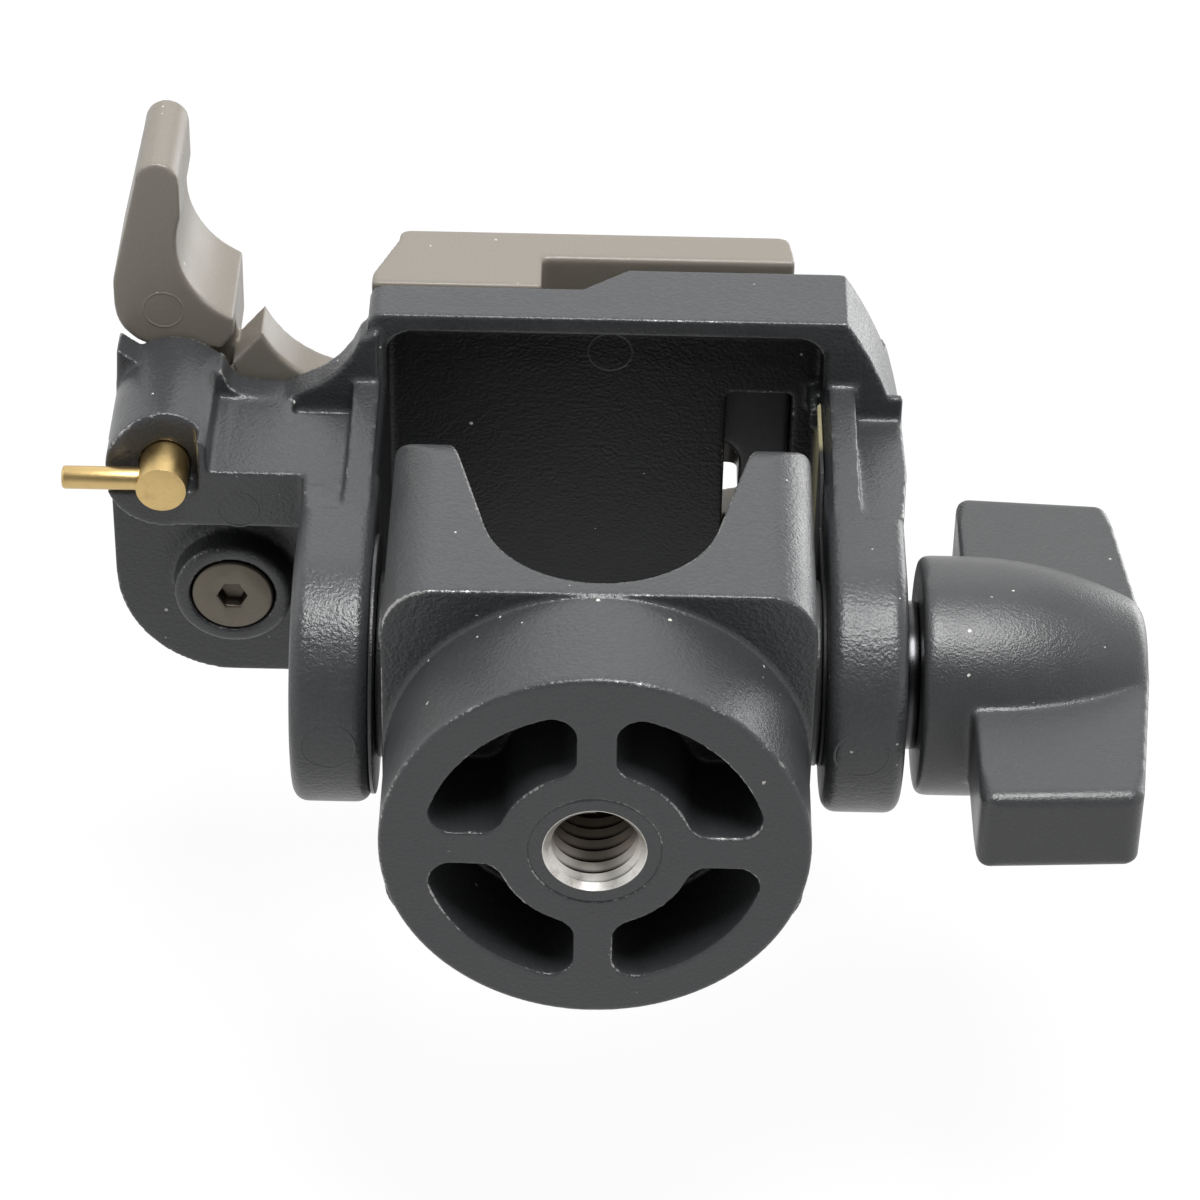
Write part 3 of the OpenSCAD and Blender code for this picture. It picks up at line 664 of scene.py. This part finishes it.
def hand_over(piece: bpy.types.Object, body: str, slot: Slot, *nodes: str,
              finish: Optional[Finish] = None) -> bpy.types.Object:
    """Paints a finished piece and ties it to its body.

    Args:
        piece: the piece.
        body: body that it rides on.
        slot: slot of its finish.
        nodes: nodes that it stands for.
        finish: its own finish, in place of the slot's.

    Returns:
        The same piece.
    """
    piece.data.materials.clear()
    piece.data.materials.append((finish or FINISHES[slot]).material())
    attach(piece, body)
    if nodes:
        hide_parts(*nodes)
    log.info("%s on %s, %d faces", piece.name, body, len(piece.data.polygons))
    return piece


def edge_wear(mesh: bpy.types.Mesh, sharp: float) -> None:
    """Stores how far each point of a fine mesh stands out as a rounded edge, from 0 to 1.

    Args:
        mesh: an even, fine mesh.
        sharp: edge radius, in metres, that counts as fully worn.
    """
    count = len(mesh.vertices)
    points = np.empty(count * 3)
    mesh.vertices.foreach_get("co", points)
    points = points.reshape(-1, 3)
    normals = np.empty(count * 3)
    mesh.vertex_normals.foreach_get("vector", normals)
    normals = normals.reshape(-1, 3)
    pairs = np.empty(len(mesh.edges) * 2, dtype=np.int64)
    mesh.edges.foreach_get("vertices", pairs)
    pairs = pairs.reshape(-1, 2)
    ends = np.concatenate([pairs[:, 0], pairs[:, 1]])
    others = np.concatenate([pairs[:, 1], pairs[:, 0]])
    valence = np.maximum(np.bincount(ends, minlength=count), 1)

    def around(values: np.ndarray) -> np.ndarray:
        """Returns the mean of a value over each point's neighbours."""
        return np.bincount(ends, weights=values[others], minlength=count) / valence

    # the bend is four times the rise over the neighbours' mean, by their mean squared distance
    middle = np.stack([around(points[:, axis]) for axis in range(3)], axis=1)
    rise = np.einsum("ij,ij->i", points - middle, normals)
    span = np.linalg.norm(points[pairs[:, 0]] - points[pairs[:, 1]], axis=1)
    reach = np.bincount(ends, weights=np.concatenate([span, span]) ** 2, minlength=count) / valence
    bend = 4 * rise / np.maximum(reach, TINY_AREA)
    for _ in range(BEND_BLURS):
        bend = 0.5 * bend + 0.5 * around(bend)
    worn = np.clip(bend * sharp, 0, 1)
    layer = mesh.attributes.new(WEAR, "FLOAT", "POINT")
    layer.data.foreach_set("value", worn.astype(np.float32))


def merged_copy(name: str, node: str, below: Optional[float] = None) -> bpy.types.Mesh:
    """Copies a node's mesh with its seams closed and its flat faces whole.

    Args:
        name: name of the copy.
        node: the node.
        below: height in metres above which the copy is cut away.

    Returns:
        The copy.
    """
    shell = bmesh.new()
    shell.from_mesh(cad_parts[node].data)
    bmesh.ops.remove_doubles(shell, verts=shell.verts, dist=WELD)
    if below is not None:
        bmesh.ops.bisect_plane(shell, geom=shell.verts[:] + shell.edges[:] + shell.faces[:],
                               plane_co=(0, 0, below), plane_no=(0, 0, 1), clear_outer=True)
    bmesh.ops.dissolve_limit(shell, angle_limit=math.radians(FLAT_ANGLE), verts=shell.verts,
                             edges=shell.edges)
    return close_shell(name, shell)


def break_edges(piece: bpy.types.Object, width: float, angle: float) -> None:
    """Breaks the sharp edges of a piece and shades it.

    Args:
        piece: the piece.
        width: width of the broken edges, in millimetres.
        angle: least angle of the edges that are broken, in degrees.
    """
    edge = piece.modifiers.new("edge", "BEVEL")
    edge.width = width * MM
    edge.segments = EDGE_SEGMENTS
    edge.limit_method = "ANGLE"
    edge.angle_limit = math.radians(angle)
    settle(piece)
    crease(piece)


def edge_copy(name: str, node: str, width: float, below: Optional[float] = None) -> bpy.types.Object:
    """Copies a node with the broken edges of a turned or cut piece.

    Args:
        name: name of the piece.
        node: the node.
        width: width of the broken edges, in millimetres.
        below: height in metres above which the copy is cut away.

    Returns:
        The piece.
    """
    piece = link_object(name, merged_copy(name, node, below))
    break_edges(piece, width, EDGE_ANGLE)
    return piece


def ease(piece: bpy.types.Object, bottom: float, top: float) -> None:
    """Draws in the ends of a piece along Z, so that faces which only touch stay apart as they move.

    Args:
        piece: the piece.
        bottom: how far its lower end rises, in millimetres.
        top: how far its upper end sinks, in millimetres.
    """
    heights = [point.co.z for point in piece.data.vertices]
    least, most = min(heights) + bottom * MM, max(heights) - top * MM
    for point in piece.data.vertices:
        point.co.z = min(max(point.co.z, least), most)


def ring_mark(name: str, spot: Point, radius: float, barrel: Optional[Span] = None) -> bpy.types.Mesh:
    """Makes the fine raised ring that an ejector pin leaves, facing down or wrapped on a barrel along X.

    Args:
        name: name of the mesh.
        spot: middle of the ring, in millimetres; its height is the face's, or the barrel's axis.
        radius: radius of the ring, in millimetres.
        barrel: radius of the barrel in millimetres and the angle of the spot below its front, in degrees.

    Returns:
        The mesh.
    """
    x, y, z = spot
    rings = []
    for out, rise in RING_SECTION:
        ring = []
        for index in range(RING_SIDES):
            turn = 2 * math.pi * index / RING_SIDES
            across, along = (radius + out) * math.cos(turn), (radius + out) * math.sin(turn)
            if barrel is None:
                ring.append(((x + across) * MM, (y + along) * MM, (z - rise) * MM))
            else:
                angle = math.radians(barrel[1]) + along / barrel[0]
                ring.append(((x + across) * MM, (y - (barrel[0] + rise) * math.cos(angle)) * MM,
                             (z - (barrel[0] + rise) * math.sin(angle)) * MM))
        rings.append(ring)
    faces = [(band * RING_SIDES + index, band * RING_SIDES + (index + 1) % RING_SIDES,
              (band + 1) * RING_SIDES + (index + 1) % RING_SIDES, (band + 1) * RING_SIDES + index)
             for band in range(len(rings) - 1) for index in range(RING_SIDES)]
    mesh = bpy.data.meshes.new(name)
    mesh.from_pydata(sum(rings, []), [], faces)
    mesh.shade_smooth()
    return mesh


def hand_over_marks(name: str, body: str, slot: Slot, rings: Sequence[bpy.types.Mesh]) -> None:
    """Makes one piece of ring marks and ties it to its body.

    Args:
        name: name of the piece.
        body: body that it rides on.
        slot: slot of its finish.
        rings: the marks.
    """
    piece = join(name, *((ring, Matrix()) for ring in rings))
    piece.data.shade_smooth()
    hand_over(piece, body, slot)


@dataclass(frozen=True)
class SoftCopy:
    """A node's own shape with the soft edges and fillets of a casting, in metres."""

    node: str
    voxel: float = 0.28 * MM
    soften: float = 0.5
    passes: int = 5
    triangles: int = 150_000
    sharp: float = 0.4 * MM
    reshape: Optional[Callable[[Vector], Vector]] = None

    def build(self, name: str) -> bpy.types.Object:
        """Makes the softened copy, held inside the node's box.

        Args:
            name: name of the piece.

        Returns:
            The piece, with its edge wear stored on its points.
        """
        piece = link_object(name, merged_copy(name, self.node))
        grid = piece.modifiers.new("grid", "REMESH")
        grid.mode = "VOXEL"
        grid.voxel_size = self.voxel
        soft = piece.modifiers.new("soft", "SMOOTH")
        soft.factor = self.soften
        soft.iterations = self.passes
        settle(piece)
        if self.reshape:
            for point in piece.data.vertices:
                point.co = self.reshape(point.co)
        edge_wear(piece.data, self.sharp)
        thin = piece.modifiers.new("thin", "DECIMATE")
        thin.ratio = min(1.0, self.triangles / (2 * len(piece.data.polygons)))
        settle(piece)
        low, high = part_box(self.node)
        for point in piece.data.vertices:
            point.co = [min(max(value, least), most) for value, least, most in zip(point.co, low, high)]
        piece.data.shade_smooth()
        return piece


@dataclass(frozen=True)
class TurnedPiece:
    """A turned, cut or bent piece: a copy of its node with broken edges and ends eased along Z."""

    name: str
    node: str
    body: str
    slot: Slot
    edge: float = 0.2
    bottom: float = 0.0
    top: float = 0.0
    finish: Optional[Finish] = None

    def build(self) -> None:
        """Builds and dresses the piece."""
        piece = edge_copy(self.name, self.node, self.edge)
        ease(piece, self.bottom, self.top)
        hand_over(piece, self.body, self.slot, self.node, finish=self.finish)


@dataclass(frozen=True)
class CoilSpring:
    """A wire spring that fills the box of its node."""

    name: str
    node: str
    wire: float
    turns: float
    body: str = "yoke"

    def build(self) -> bpy.types.Object:
        """Returns the wound and dressed spring."""
        low, high = (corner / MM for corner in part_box(self.node))
        middle = (low + high) / 2
        helix = Helix((high.x - low.x) / 2 - self.wire, high.z - low.z - 2 * self.wire, self.turns,
                      self.wire, WIRE_SIDES)
        seat = shift(middle.x, middle.y, low.z + self.wire)
        piece = join(self.name, (helix.mesh("coil", Slot.BRIGHT), seat))
        piece.data.shade_smooth()
        return hand_over(piece, self.body, Slot.BRIGHT, self.node)


@dataclass
class ForkBase:
    """Round foot, fork block, thread insert and the bushes in the ears.

    The throat is the narrowest place of the thread's mouth, as radius and height. The steel rim lies
    rim_z behind the foot's face. The coated ring round it has its outline as steps out from the mouth
    and from the insert, with their heights.
    """

    body: str = "base"
    thread_r: float = 4.76
    thread_z: float = 0.9
    pitch: float = 1.5875
    ridge_r: float = 0.74
    ridge_z: float = 0.76
    ridge_turn: float = -90.0
    insert_r: float = 6.1
    insert_h: float = 11.0
    bore_h: float = 10.0
    throat: Span = (4.3, 0.62)
    mouth_r: float = 4.8
    rim_w: float = 0.1
    rim_z: float = 0.04
    step_z: float = 0.8
    ring_inside: tuple[Span, ...] = ((0.03, 0.05), (0.1, 0.0))
    ring_outside: tuple[Span, ...] = ((-0.08, 0.0), (0.04, 0.09), (0.2, 0.12))
    copy: SoftCopy = SoftCopy("base_fork", voxel=0.2 * MM, passes=10, triangles=190_000)
    turned: tuple[TurnedPiece, ...] = (
        TurnedPiece("ear_bush_left_turned", "ear_bush_left", "base", Slot.PLASTIC),
        TurnedPiece("ear_bush_right_turned", "ear_bush_right", "base", Slot.PLASTIC))

    def insert(self) -> None:
        """Builds the steel insert with its cut thread."""
        rim_r = self.mouth_r + self.rim_w
        body = lathe("insert_body", (
            (0, self.bore_h), (self.thread_r, self.bore_h), (self.thread_r, self.thread_z), self.throat,
            (self.mouth_r, self.rim_z), (rim_r, self.rim_z), (rim_r, self.step_z),
            (self.insert_r, self.step_z), (self.insert_r, self.insert_h), (0, self.insert_h)))
        length = self.bore_h - self.thread_z
        helix = Helix(self.thread_r, length, length / self.pitch, self.ridge_r, DIAMOND_SIDES)
        seat = shift(0, 0, self.ridge_z) @ Matrix.Rotation(math.radians(self.ridge_turn), 4, "Z")
        steel = join("insert_thread", (body, Matrix()), (helix.mesh("insert_ridge", Slot.BRIGHT), seat))
        crease(steel, THREAD_CREASE)
        hand_over(steel, self.body, Slot.BRIGHT, "thread_insert", finish=THREAD_STEEL)

    def ring(self) -> None:
        """Builds the coated ring round the mouth of the insert."""
        outline = [(self.mouth_r + out, height) for out, height in self.ring_inside]
        outline += [(self.insert_r + out, height) for out, height in self.ring_outside]
        hand_over(join("insert_ring", (lathe("ring_body", outline), Matrix())), self.body, Slot.CAST)

    def build(self) -> None:
        """Builds and dresses the pieces."""
        hand_over(self.copy.build("fork_casting"), self.body, Slot.CAST, "base_fork")
        self.insert()
        self.ring()
        for piece in self.turned:
            piece.build()


@dataclass
class Yoke:
    """Yoke casting with its liner, washer and tilt bolt.

    Flat marks of the ejector pins are a spot and a radius, and marks on the arms' round ends are a place
    along X and an angle below the front. The mouth is the space between the arms, from least to most
    along X, Y and Z.
    """

    body: str = "yoke"
    tilt_z: float = 27.3
    arm_r: float = 13.4
    pin_r: float = 2.6
    flat_marks: tuple[tuple[Point, float], ...] = (((0.5, -16.9, 57.0), 2.2), ((-35.7, -8.1, 41.0), 2.0))
    round_marks: tuple[Span, ...] = ((-25.4, 88.8), (25.0, 87.1))
    mouth: tuple[Span, Span, Span] = ((-21.9, 21.9), (-18.6, 40.0), (41.0, 57.4))
    mouth_fade: float = 0.5
    copy: SoftCopy = SoftCopy("yoke_casting", passes=4, triangles=190_000)
    turned: tuple[TurnedPiece, ...] = (
        TurnedPiece("liner_sheet", "friction_liner", "yoke", Slot.LINER, edge=0.08),
        TurnedPiece("washer_disc", "friction_washer", "yoke", Slot.PLASTIC, edge=0.08),
        TurnedPiece("bolt_turned", "tilt_bolt", "yoke", Slot.DARK, edge=0.4))

    def marks(self) -> None:
        """Builds the marks that the ejector pins left on the casting."""
        rings = [ring_mark("mark", spot, radius) for spot, radius in self.flat_marks]
        rings += [ring_mark("mark", (x, 0.0, self.tilt_z), self.pin_r, (self.arm_r, angle))
                  for x, angle in self.round_marks]
        hand_over_marks("yoke_marks", self.body, Slot.CAST, rings)

    def paint_recess_shade(self, piece: bpy.types.Object) -> None:
        """Marks the faces inside the yoke's mouth, where the coat is painted darker and less glossy, as
        painted shade.

        Args:
            piece: the softened casting.
        """
        layer = piece.data.attributes.new(RECESS_SHADE, "FLOAT", "POINT")
        for point, mark in zip(piece.data.vertices, layer.data):
            room = min(min(value - least, most - value)
                       for value, (least, most) in zip((axis / MM for axis in point.co), self.mouth))
            mark.value = min(max(1 + room / self.mouth_fade, 0.0), 1.0)

    def build(self) -> None:
        """Builds and dresses the pieces."""
        shell = self.copy.build("yoke_shell")
        self.paint_recess_shade(shell)
        hand_over(shell, self.body, Slot.CAST, "yoke_casting")
        self.marks()
        for piece in self.turned:
            piece.build()


@dataclass
class ClampKnob:
    """Winged knob with its insert and the collar it bears on.

    The wings reach wing_half from the tilt axis at their inner side, less by slant for each millimetre
    along X, and their outer side lies further out by flare for each millimetre nearer to the axis.
    """

    body: str = "knob"
    tilt_z: float = 27.3
    wing_half: float = 24.0
    wing_t: float = 8.8
    wing_in: float = 35.5
    wing_out: float = 50.6
    slant: float = 0.056
    flare: float = 0.11
    tip_r: float = 1.4
    tip_fade: float = 6.0
    turned: tuple[TurnedPiece, ...] = (
        TurnedPiece("knob_bush", "knob_insert", "knob", Slot.BRASS),
        # the collar's steel is painted near-black, as shade
        TurnedPiece("collar_turned", "knob_collar", "collar", Slot.BRIGHT, edge=0.25, finish=SHADED_STEEL))

    def round_tip(self, point: Vector) -> Vector:
        """Rounds the edges of the wings: fully round their ends, and less and less along their sides.

        Args:
            point: a point of the moulding, in metres.

        Returns:
            The point, drawn in where it lies outside the rounding.
        """
        x, y, z = point / MM
        height = abs(z - self.tilt_z)
        outer = self.wing_out + self.flare * (self.wing_half - height)
        across = max(x - outer + self.tip_r, 0.0) + min(x - self.wing_in - self.tip_r, 0.0)
        rise = height - (self.wing_half - self.slant * (x - self.wing_in) - self.tip_r)
        radius = self.tip_r * (1 + min(rise, 0.0) / self.tip_fade)
        rise = max(rise, 0.0)
        away = math.hypot(across, rise)
        if radius <= 0 or away == 0:
            return point
        side = abs(y) - (self.wing_t / 2 - radius)
        end = away - (self.tip_r - radius)
        reach = math.hypot(side, end)
        if side <= 0 or end <= 0 or reach <= radius:
            return point
        excess = 1 - radius / reach
        inward = excess * end / away
        return Vector((x - inward * across, y - math.copysign(excess * side, y),
                       z - math.copysign(inward * rise, z - self.tilt_z))) * MM

    def build(self) -> None:
        """Builds and dresses the pieces."""
        copy = SoftCopy("knob_body", passes=16, triangles=90_000, reshape=self.round_tip)
        hand_over(copy.build("knob_moulding"), self.body, Slot.PLASTIC, "knob_body")
        for piece in self.turned:
            piece.build()


@dataclass
class CamLever:
    """Cam lever with its screw, washer and spring."""

    body: str = "lever"
    mark: Point = (-44.1, -20.1, 58.0)
    mark_r: float = 2.0
    copy: SoftCopy = SoftCopy("lever", voxel=0.2 * MM, passes=18, triangles=150_000)
    coil: CoilSpring = CoilSpring("lever_coil", "lever_spring", wire=0.6, turns=3.5)
    turned: tuple[TurnedPiece, ...] = (
        TurnedPiece("screw_turned", "lever_screw", "lever", Slot.DARK, edge=0.25),
        TurnedPiece("lever_shim", "lever_washer", "yoke", Slot.PLASTIC, edge=0.08, top=0.04))

    def build(self) -> None:
        """Builds and dresses the pieces."""
        hand_over(self.copy.build("lever_casting"), self.body, Slot.TAUPE, "lever")
        hand_over_marks("lever_mark", self.body, Slot.TAUPE, [ring_mark("mark", self.mark, self.mark_r)])
        for piece in self.turned:
            piece.build()
        self.coil.build()


@dataclass
class SafetyCatch:
    """Brass post, its cross rod, the trigger pin and their springs."""

    press: float = 2.0
    catch_coil: CoilSpring = CoilSpring("catch_coil", "catch_spring", wire=0.45, turns=3.5)
    trigger_coil: CoilSpring = CoilSpring("trigger_coil", "trigger_spring", wire=0.2, turns=7)
    turned: tuple[TurnedPiece, ...] = (
        TurnedPiece("post_turned", "catch_post", "catch", Slot.BRASS, edge=0.3),
        TurnedPiece("rod_turned", "catch_rod", "catch", Slot.BRASS, edge=0.3),
        TurnedPiece("trigger_turned", "trigger_pin", "trigger", Slot.BRASS, edge=0.25, bottom=0.04))

    def build(self) -> None:
        """Builds and dresses the pieces."""
        for piece in self.turned:
            piece.build()
        self.catch_coil.build()
        spring = self.trigger_coil.build()
        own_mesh(spring)


@dataclass
class CameraPlate:
    """Dovetail plate with its ribbed pads and camera screw.

    The pads' ribs stop rib_inset short of the sides, and points within pad_skin of a pad's top sink by
    the ribs' height. The screw's head ends head_cut below the pads' top and the stud's core starts lap
    below it. The thread runs from run_in above that top to run_out below the stud's end.
    """

    body: str = "yoke"
    axis: Span = (-2.3, 6.2)
    rib_step: float = 1.4
    rib_h: float = 0.4
    rib_w: float = 0.7
    rib_inset: float = 1.2
    rib_edge: float = 0.1
    pad_skin: float = 0.1
    stud_r: float = 3.175
    pitch: float = 1.27
    head_edge: float = 0.2
    head_cut: float = 0.3
    lap: float = 0.4
    point_h: float = 0.9
    point_in: float = 0.5
    run_in: float = 0.1
    run_out: float = 0.9
    copy: SoftCopy = SoftCopy("plate_body", passes=6, triangles=90_000)
    pads: tuple[str, ...] = ("plate_pad_front", "plate_pad_back")
    turned: tuple[TurnedPiece, ...] = (
        TurnedPiece("washer_turned", "screw_washer", "screw_slider", Slot.BRIGHT, edge=0.1),
        TurnedPiece("ring_bent", "screw_ring", "camera_screw", Slot.BRIGHT, edge=0.5),
        TurnedPiece("clip_cut", "screw_clip", "camera_screw", Slot.DARK, edge=0.1))

    def pad(self, node: str) -> None:
        """Builds one rubber pad with ribs across its top.

        Args:
            node: node of the pad.
        """
        low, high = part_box(node)
        sheet = merged_copy(node, node)
        for point in sheet.vertices:
            if point.co.z > high.z - self.pad_skin * MM:
                point.co.z -= self.rib_h * MM
        count = int((high.y - low.y) / MM / self.rib_step) - 1
        first = (low.y + high.y) / 2 / MM - (count - 1) * self.rib_step / 2
        size = (high.x - low.x - 2 * self.rib_inset * MM, self.rib_w * MM, 2 * self.rib_h * MM)
        ribs = RibRow(count, self.rib_step * MM, size).mesh("ribs", Slot.PAD)
        seat = shift((low.x + high.x) / 2 / MM, first, high.z / MM - self.rib_h)
        piece = join(f"{node}_ribbed", (sheet, Matrix()), (ribs, seat))
        break_edges(piece, self.rib_edge, PAD_ANGLE)
        hand_over(piece, self.body, Slot.PAD, node)

    def screw(self) -> None:
        """Builds the camera screw with its cut thread."""
        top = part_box("camera_screw")[1].z / MM
        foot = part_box("plate_pad_front")[1].z / MM
        head = edge_copy("screw_head", "camera_screw", self.head_edge, (foot - self.head_cut) * MM)
        shape = head.data.copy()
        bpy.data.objects.remove(head)
        core, root = self.stud_r - self.pitch / 2, foot - self.lap
        stud = lathe("stud", ((0, root), (core, root), (core, top - self.point_h),
                              (core - self.point_in, top), (0, top)))
        length = top - foot - self.run_in - self.run_out
        helix = Helix(core, length, length / self.pitch, self.pitch / 2, DIAMOND_SIDES)
        piece = join("camera_screw_cut", (shape, Matrix()), (stud, shift(*self.axis, 0)),
                     (helix.mesh("stud_ridge", Slot.BRIGHT), shift(*self.axis, foot + self.run_in)))
        crease(piece, THREAD_CREASE)
        hand_over(piece, "camera_screw", Slot.BRIGHT, "camera_screw")

    def build(self) -> None:
        """Builds and dresses the pieces."""
        hand_over(self.copy.build("plate_casting"), self.body, Slot.TAUPE, "plate_body", finish=PLATE_PAINT)
        for node in self.pads:
            self.pad(node)
        self.screw()
        for piece in self.turned:
            piece.build()


@dataclass(frozen=True)
class Lamp:
    """A square soft lamp: its direction from the part, distance and side in metres, and power in watts."""

    name: str
    toward: Point
    distance: float
    side: float
    power: float

    def build(self) -> None:
        """Adds the lamp, facing the middle of the part."""
        light = bpy.data.lights.new(self.name, "AREA")
        light.shape = "SQUARE"
        light.size = self.side
        light.energy = self.power
        made = link_object(self.name, light)
        middle = (CAD_BOX[0] + CAD_BOX[1]) / 2
        made.location = middle + self.distance * Vector(self.toward).normalized()
        made.rotation_euler = Vector(self.toward).to_track_quat("Z", "Y").to_euler()


@dataclass
class Studio:
    """Camera, pale floor and back sheet, soft lamps and a white world, in metres.

    The lens is in millimetres and the roll in degrees. The glow of a sheet is the share of its white that
    no shadow dims. The world is dimmed to room within a lobe round the camera, given as cosines, and
    lights the part at ambient elsewhere.
    """

    focal: float = 132.5
    sensor: float = 36.0
    near: float = 0.01
    eye: Point = (0.0, -0.26432, -0.30912)
    look: Point = (0.0, 0.6056, 0.7958)
    roll: float = 1.21
    floor_drop: float = 0.4 * MM
    sheet_back: float = 58 * MM
    reach: float = 1.6
    sheet_white: Color = (0.92, 0.92, 0.92)
    floor_glow: float = 0.75
    back_glow: float = 0.92
    ambient: float = 0.8
    room: float = 0.14
    lobe: Span = (0.5, 0.92)
    lamps: tuple[Lamp, ...] = (
        Lamp("front_softbox", (0.1, -0.98, -0.18), distance=0.55, side=0.28, power=4.2),
        Lamp("top_softbox", (0.0, -0.62, 0.78), distance=0.7, side=0.5, power=0.55),
        Lamp("right_softbox", (0.68, 0.05, 0.73), distance=0.7, side=0.4, power=1.7),
        Lamp("left_fill", (-0.8, -0.5, 0.2), distance=0.9, side=0.5, power=0.8))

    def camera(self) -> None:
        """Sets the camera at the photograph's viewing angle."""
        lens = bpy.data.cameras.new("photo_lens")
        lens.lens = self.focal
        lens.sensor_width = self.sensor
        lens.clip_start = self.near
        ahead = Vector(self.look).normalized()
        right = ahead.cross(Vector((0, 0, 1))).normalized()
        up = right.cross(ahead)
        turn = math.radians(self.roll)
        across = math.cos(turn) * right + math.sin(turn) * up
        above = math.cos(turn) * up - math.sin(turn) * right
        seat = Matrix((across, above, -ahead)).transposed().to_4x4()
        seat.translation = Vector(self.eye)
        eye = link_object("photo_camera", lens)
        eye.matrix_world = seat
        bpy.context.scene.camera = eye

    def sheet_material(self, glow_share: float) -> bpy.types.Material:
        """Makes a pale one-sided finish: white to the camera, with the part's shadow.

        Args:
            glow_share: share of the white that no shadow dims.

        Returns:
            The material.
        """
        made = bpy.data.materials.new("pale_sheet")
        made.use_nodes = True
        kit = NodeKit(made.node_tree)
        cloth = kit.add("ShaderNodeBsdfDiffuse", {"Color": rgba(self.sheet_white)})
        glow = kit.add("ShaderNodeEmission", {"Strength": self.background_share(kit)})
        front = kit.add("ShaderNodeMixShader", {0: glow_share, 1: cloth.outputs[0], 2: glow.outputs[0]})
        behind = kit.add("ShaderNodeNewGeometry").outputs["Backfacing"]
        clear = kit.add("ShaderNodeBsdfTransparent").outputs[0]
        sides = kit.add("ShaderNodeMixShader", {0: behind, 1: front.outputs[0], 2: clear})
        kit.add("ShaderNodeOutputMaterial", {"Surface": sides.outputs[0]})
        return made

    @staticmethod
    def background_share(kit: NodeKit) -> bpy.types.NodeSocket:
        """Tells rays that show the background from rays that light the part.

        Args:
            kit: kit of the material's or world's tree.

        Returns:
            1 for rays that show the background and 0 for the others.
        """
        path = kit.add("ShaderNodeLightPath").outputs
        share = kit.math("ADD", path["Is Camera Ray"], path["Is Glossy Ray"], clamp=True)
        return kit.math("ADD", share, path["Is Transmission Ray"], clamp=True)

    def sheet(self, name: str, corners: Sequence[Vector], glow_share: float) -> None:
        """Adds one stage sheet, facing the side that sees its corners counter-clockwise.

        Args:
            name: name of the sheet.
            corners: its four corners.
            glow_share: share of its white that no shadow dims.
        """
        mesh = bpy.data.meshes.new(name)
        mesh.from_pydata([tuple(corner) for corner in corners], [], [(0, 1, 2, 3)])
        made = link_object(name, mesh)
        made.data.materials.append(self.sheet_material(glow_share))
        made.visible_shadow = False
        made.visible_diffuse = False
        made.visible_glossy = False

    def world(self) -> None:
        """Sets a white world, full white where it is seen, softer where it lights, dim round the camera."""
        made = bpy.data.worlds.new("white_room")
        made.use_nodes = True
        kit = NodeKit(made.node_tree)
        ray = kit.add("ShaderNodeTexCoord").outputs["Generated"]
        toward = kit.add("ShaderNodeVectorMath", {0: ray, 1: Vector(self.eye).normalized()},
                         operation="DOT_PRODUCT")
        lit = kit.ramp(self.background_share(kit), 0.0, 1.0, self.ambient, 1.0)
        level = kit.ramp(toward.outputs["Value"], *self.lobe, lit, self.room)
        seen = kit.add("ShaderNodeLightPath").outputs["Is Camera Ray"]
        strength = kit.math("MAXIMUM", level, seen)
        sky = kit.add("ShaderNodeBackground", {"Color": rgba((1.0, 1.0, 1.0)), "Strength": strength})
        kit.add("ShaderNodeOutputWorld", {"Surface": sky.outputs[0]})
        bpy.context.scene.world = made

    def build(self) -> None:
        """Builds the stage, the lamps, the world and the camera."""
        bpy.context.scene.view_settings.view_transform = "Standard"
        far, low, back = self.reach, -self.floor_drop, self.sheet_back
        square = ((-far, -far), (far, -far), (far, far), (-far, far))
        self.sheet("floor", [Vector((x, y, low)) for x, y in square], self.floor_glow)
        self.sheet("back_sheet", [Vector((x, back, z)) for x, z in square], self.back_glow)
        for lamp in self.lamps:
            lamp.build()
        self.world()
        self.camera()


def main() -> None:
    """Builds the studio and every sub-assembly."""
    logging.basicConfig(level=logging.INFO, format="%(name)s: %(message)s")
    Studio().build()
    for assembly in (ForkBase(), Yoke(), ClampKnob(), CamLever(), SafetyCatch(), CameraPlate()):
        assembly.build()


if __name__ == "__main__":
    main()
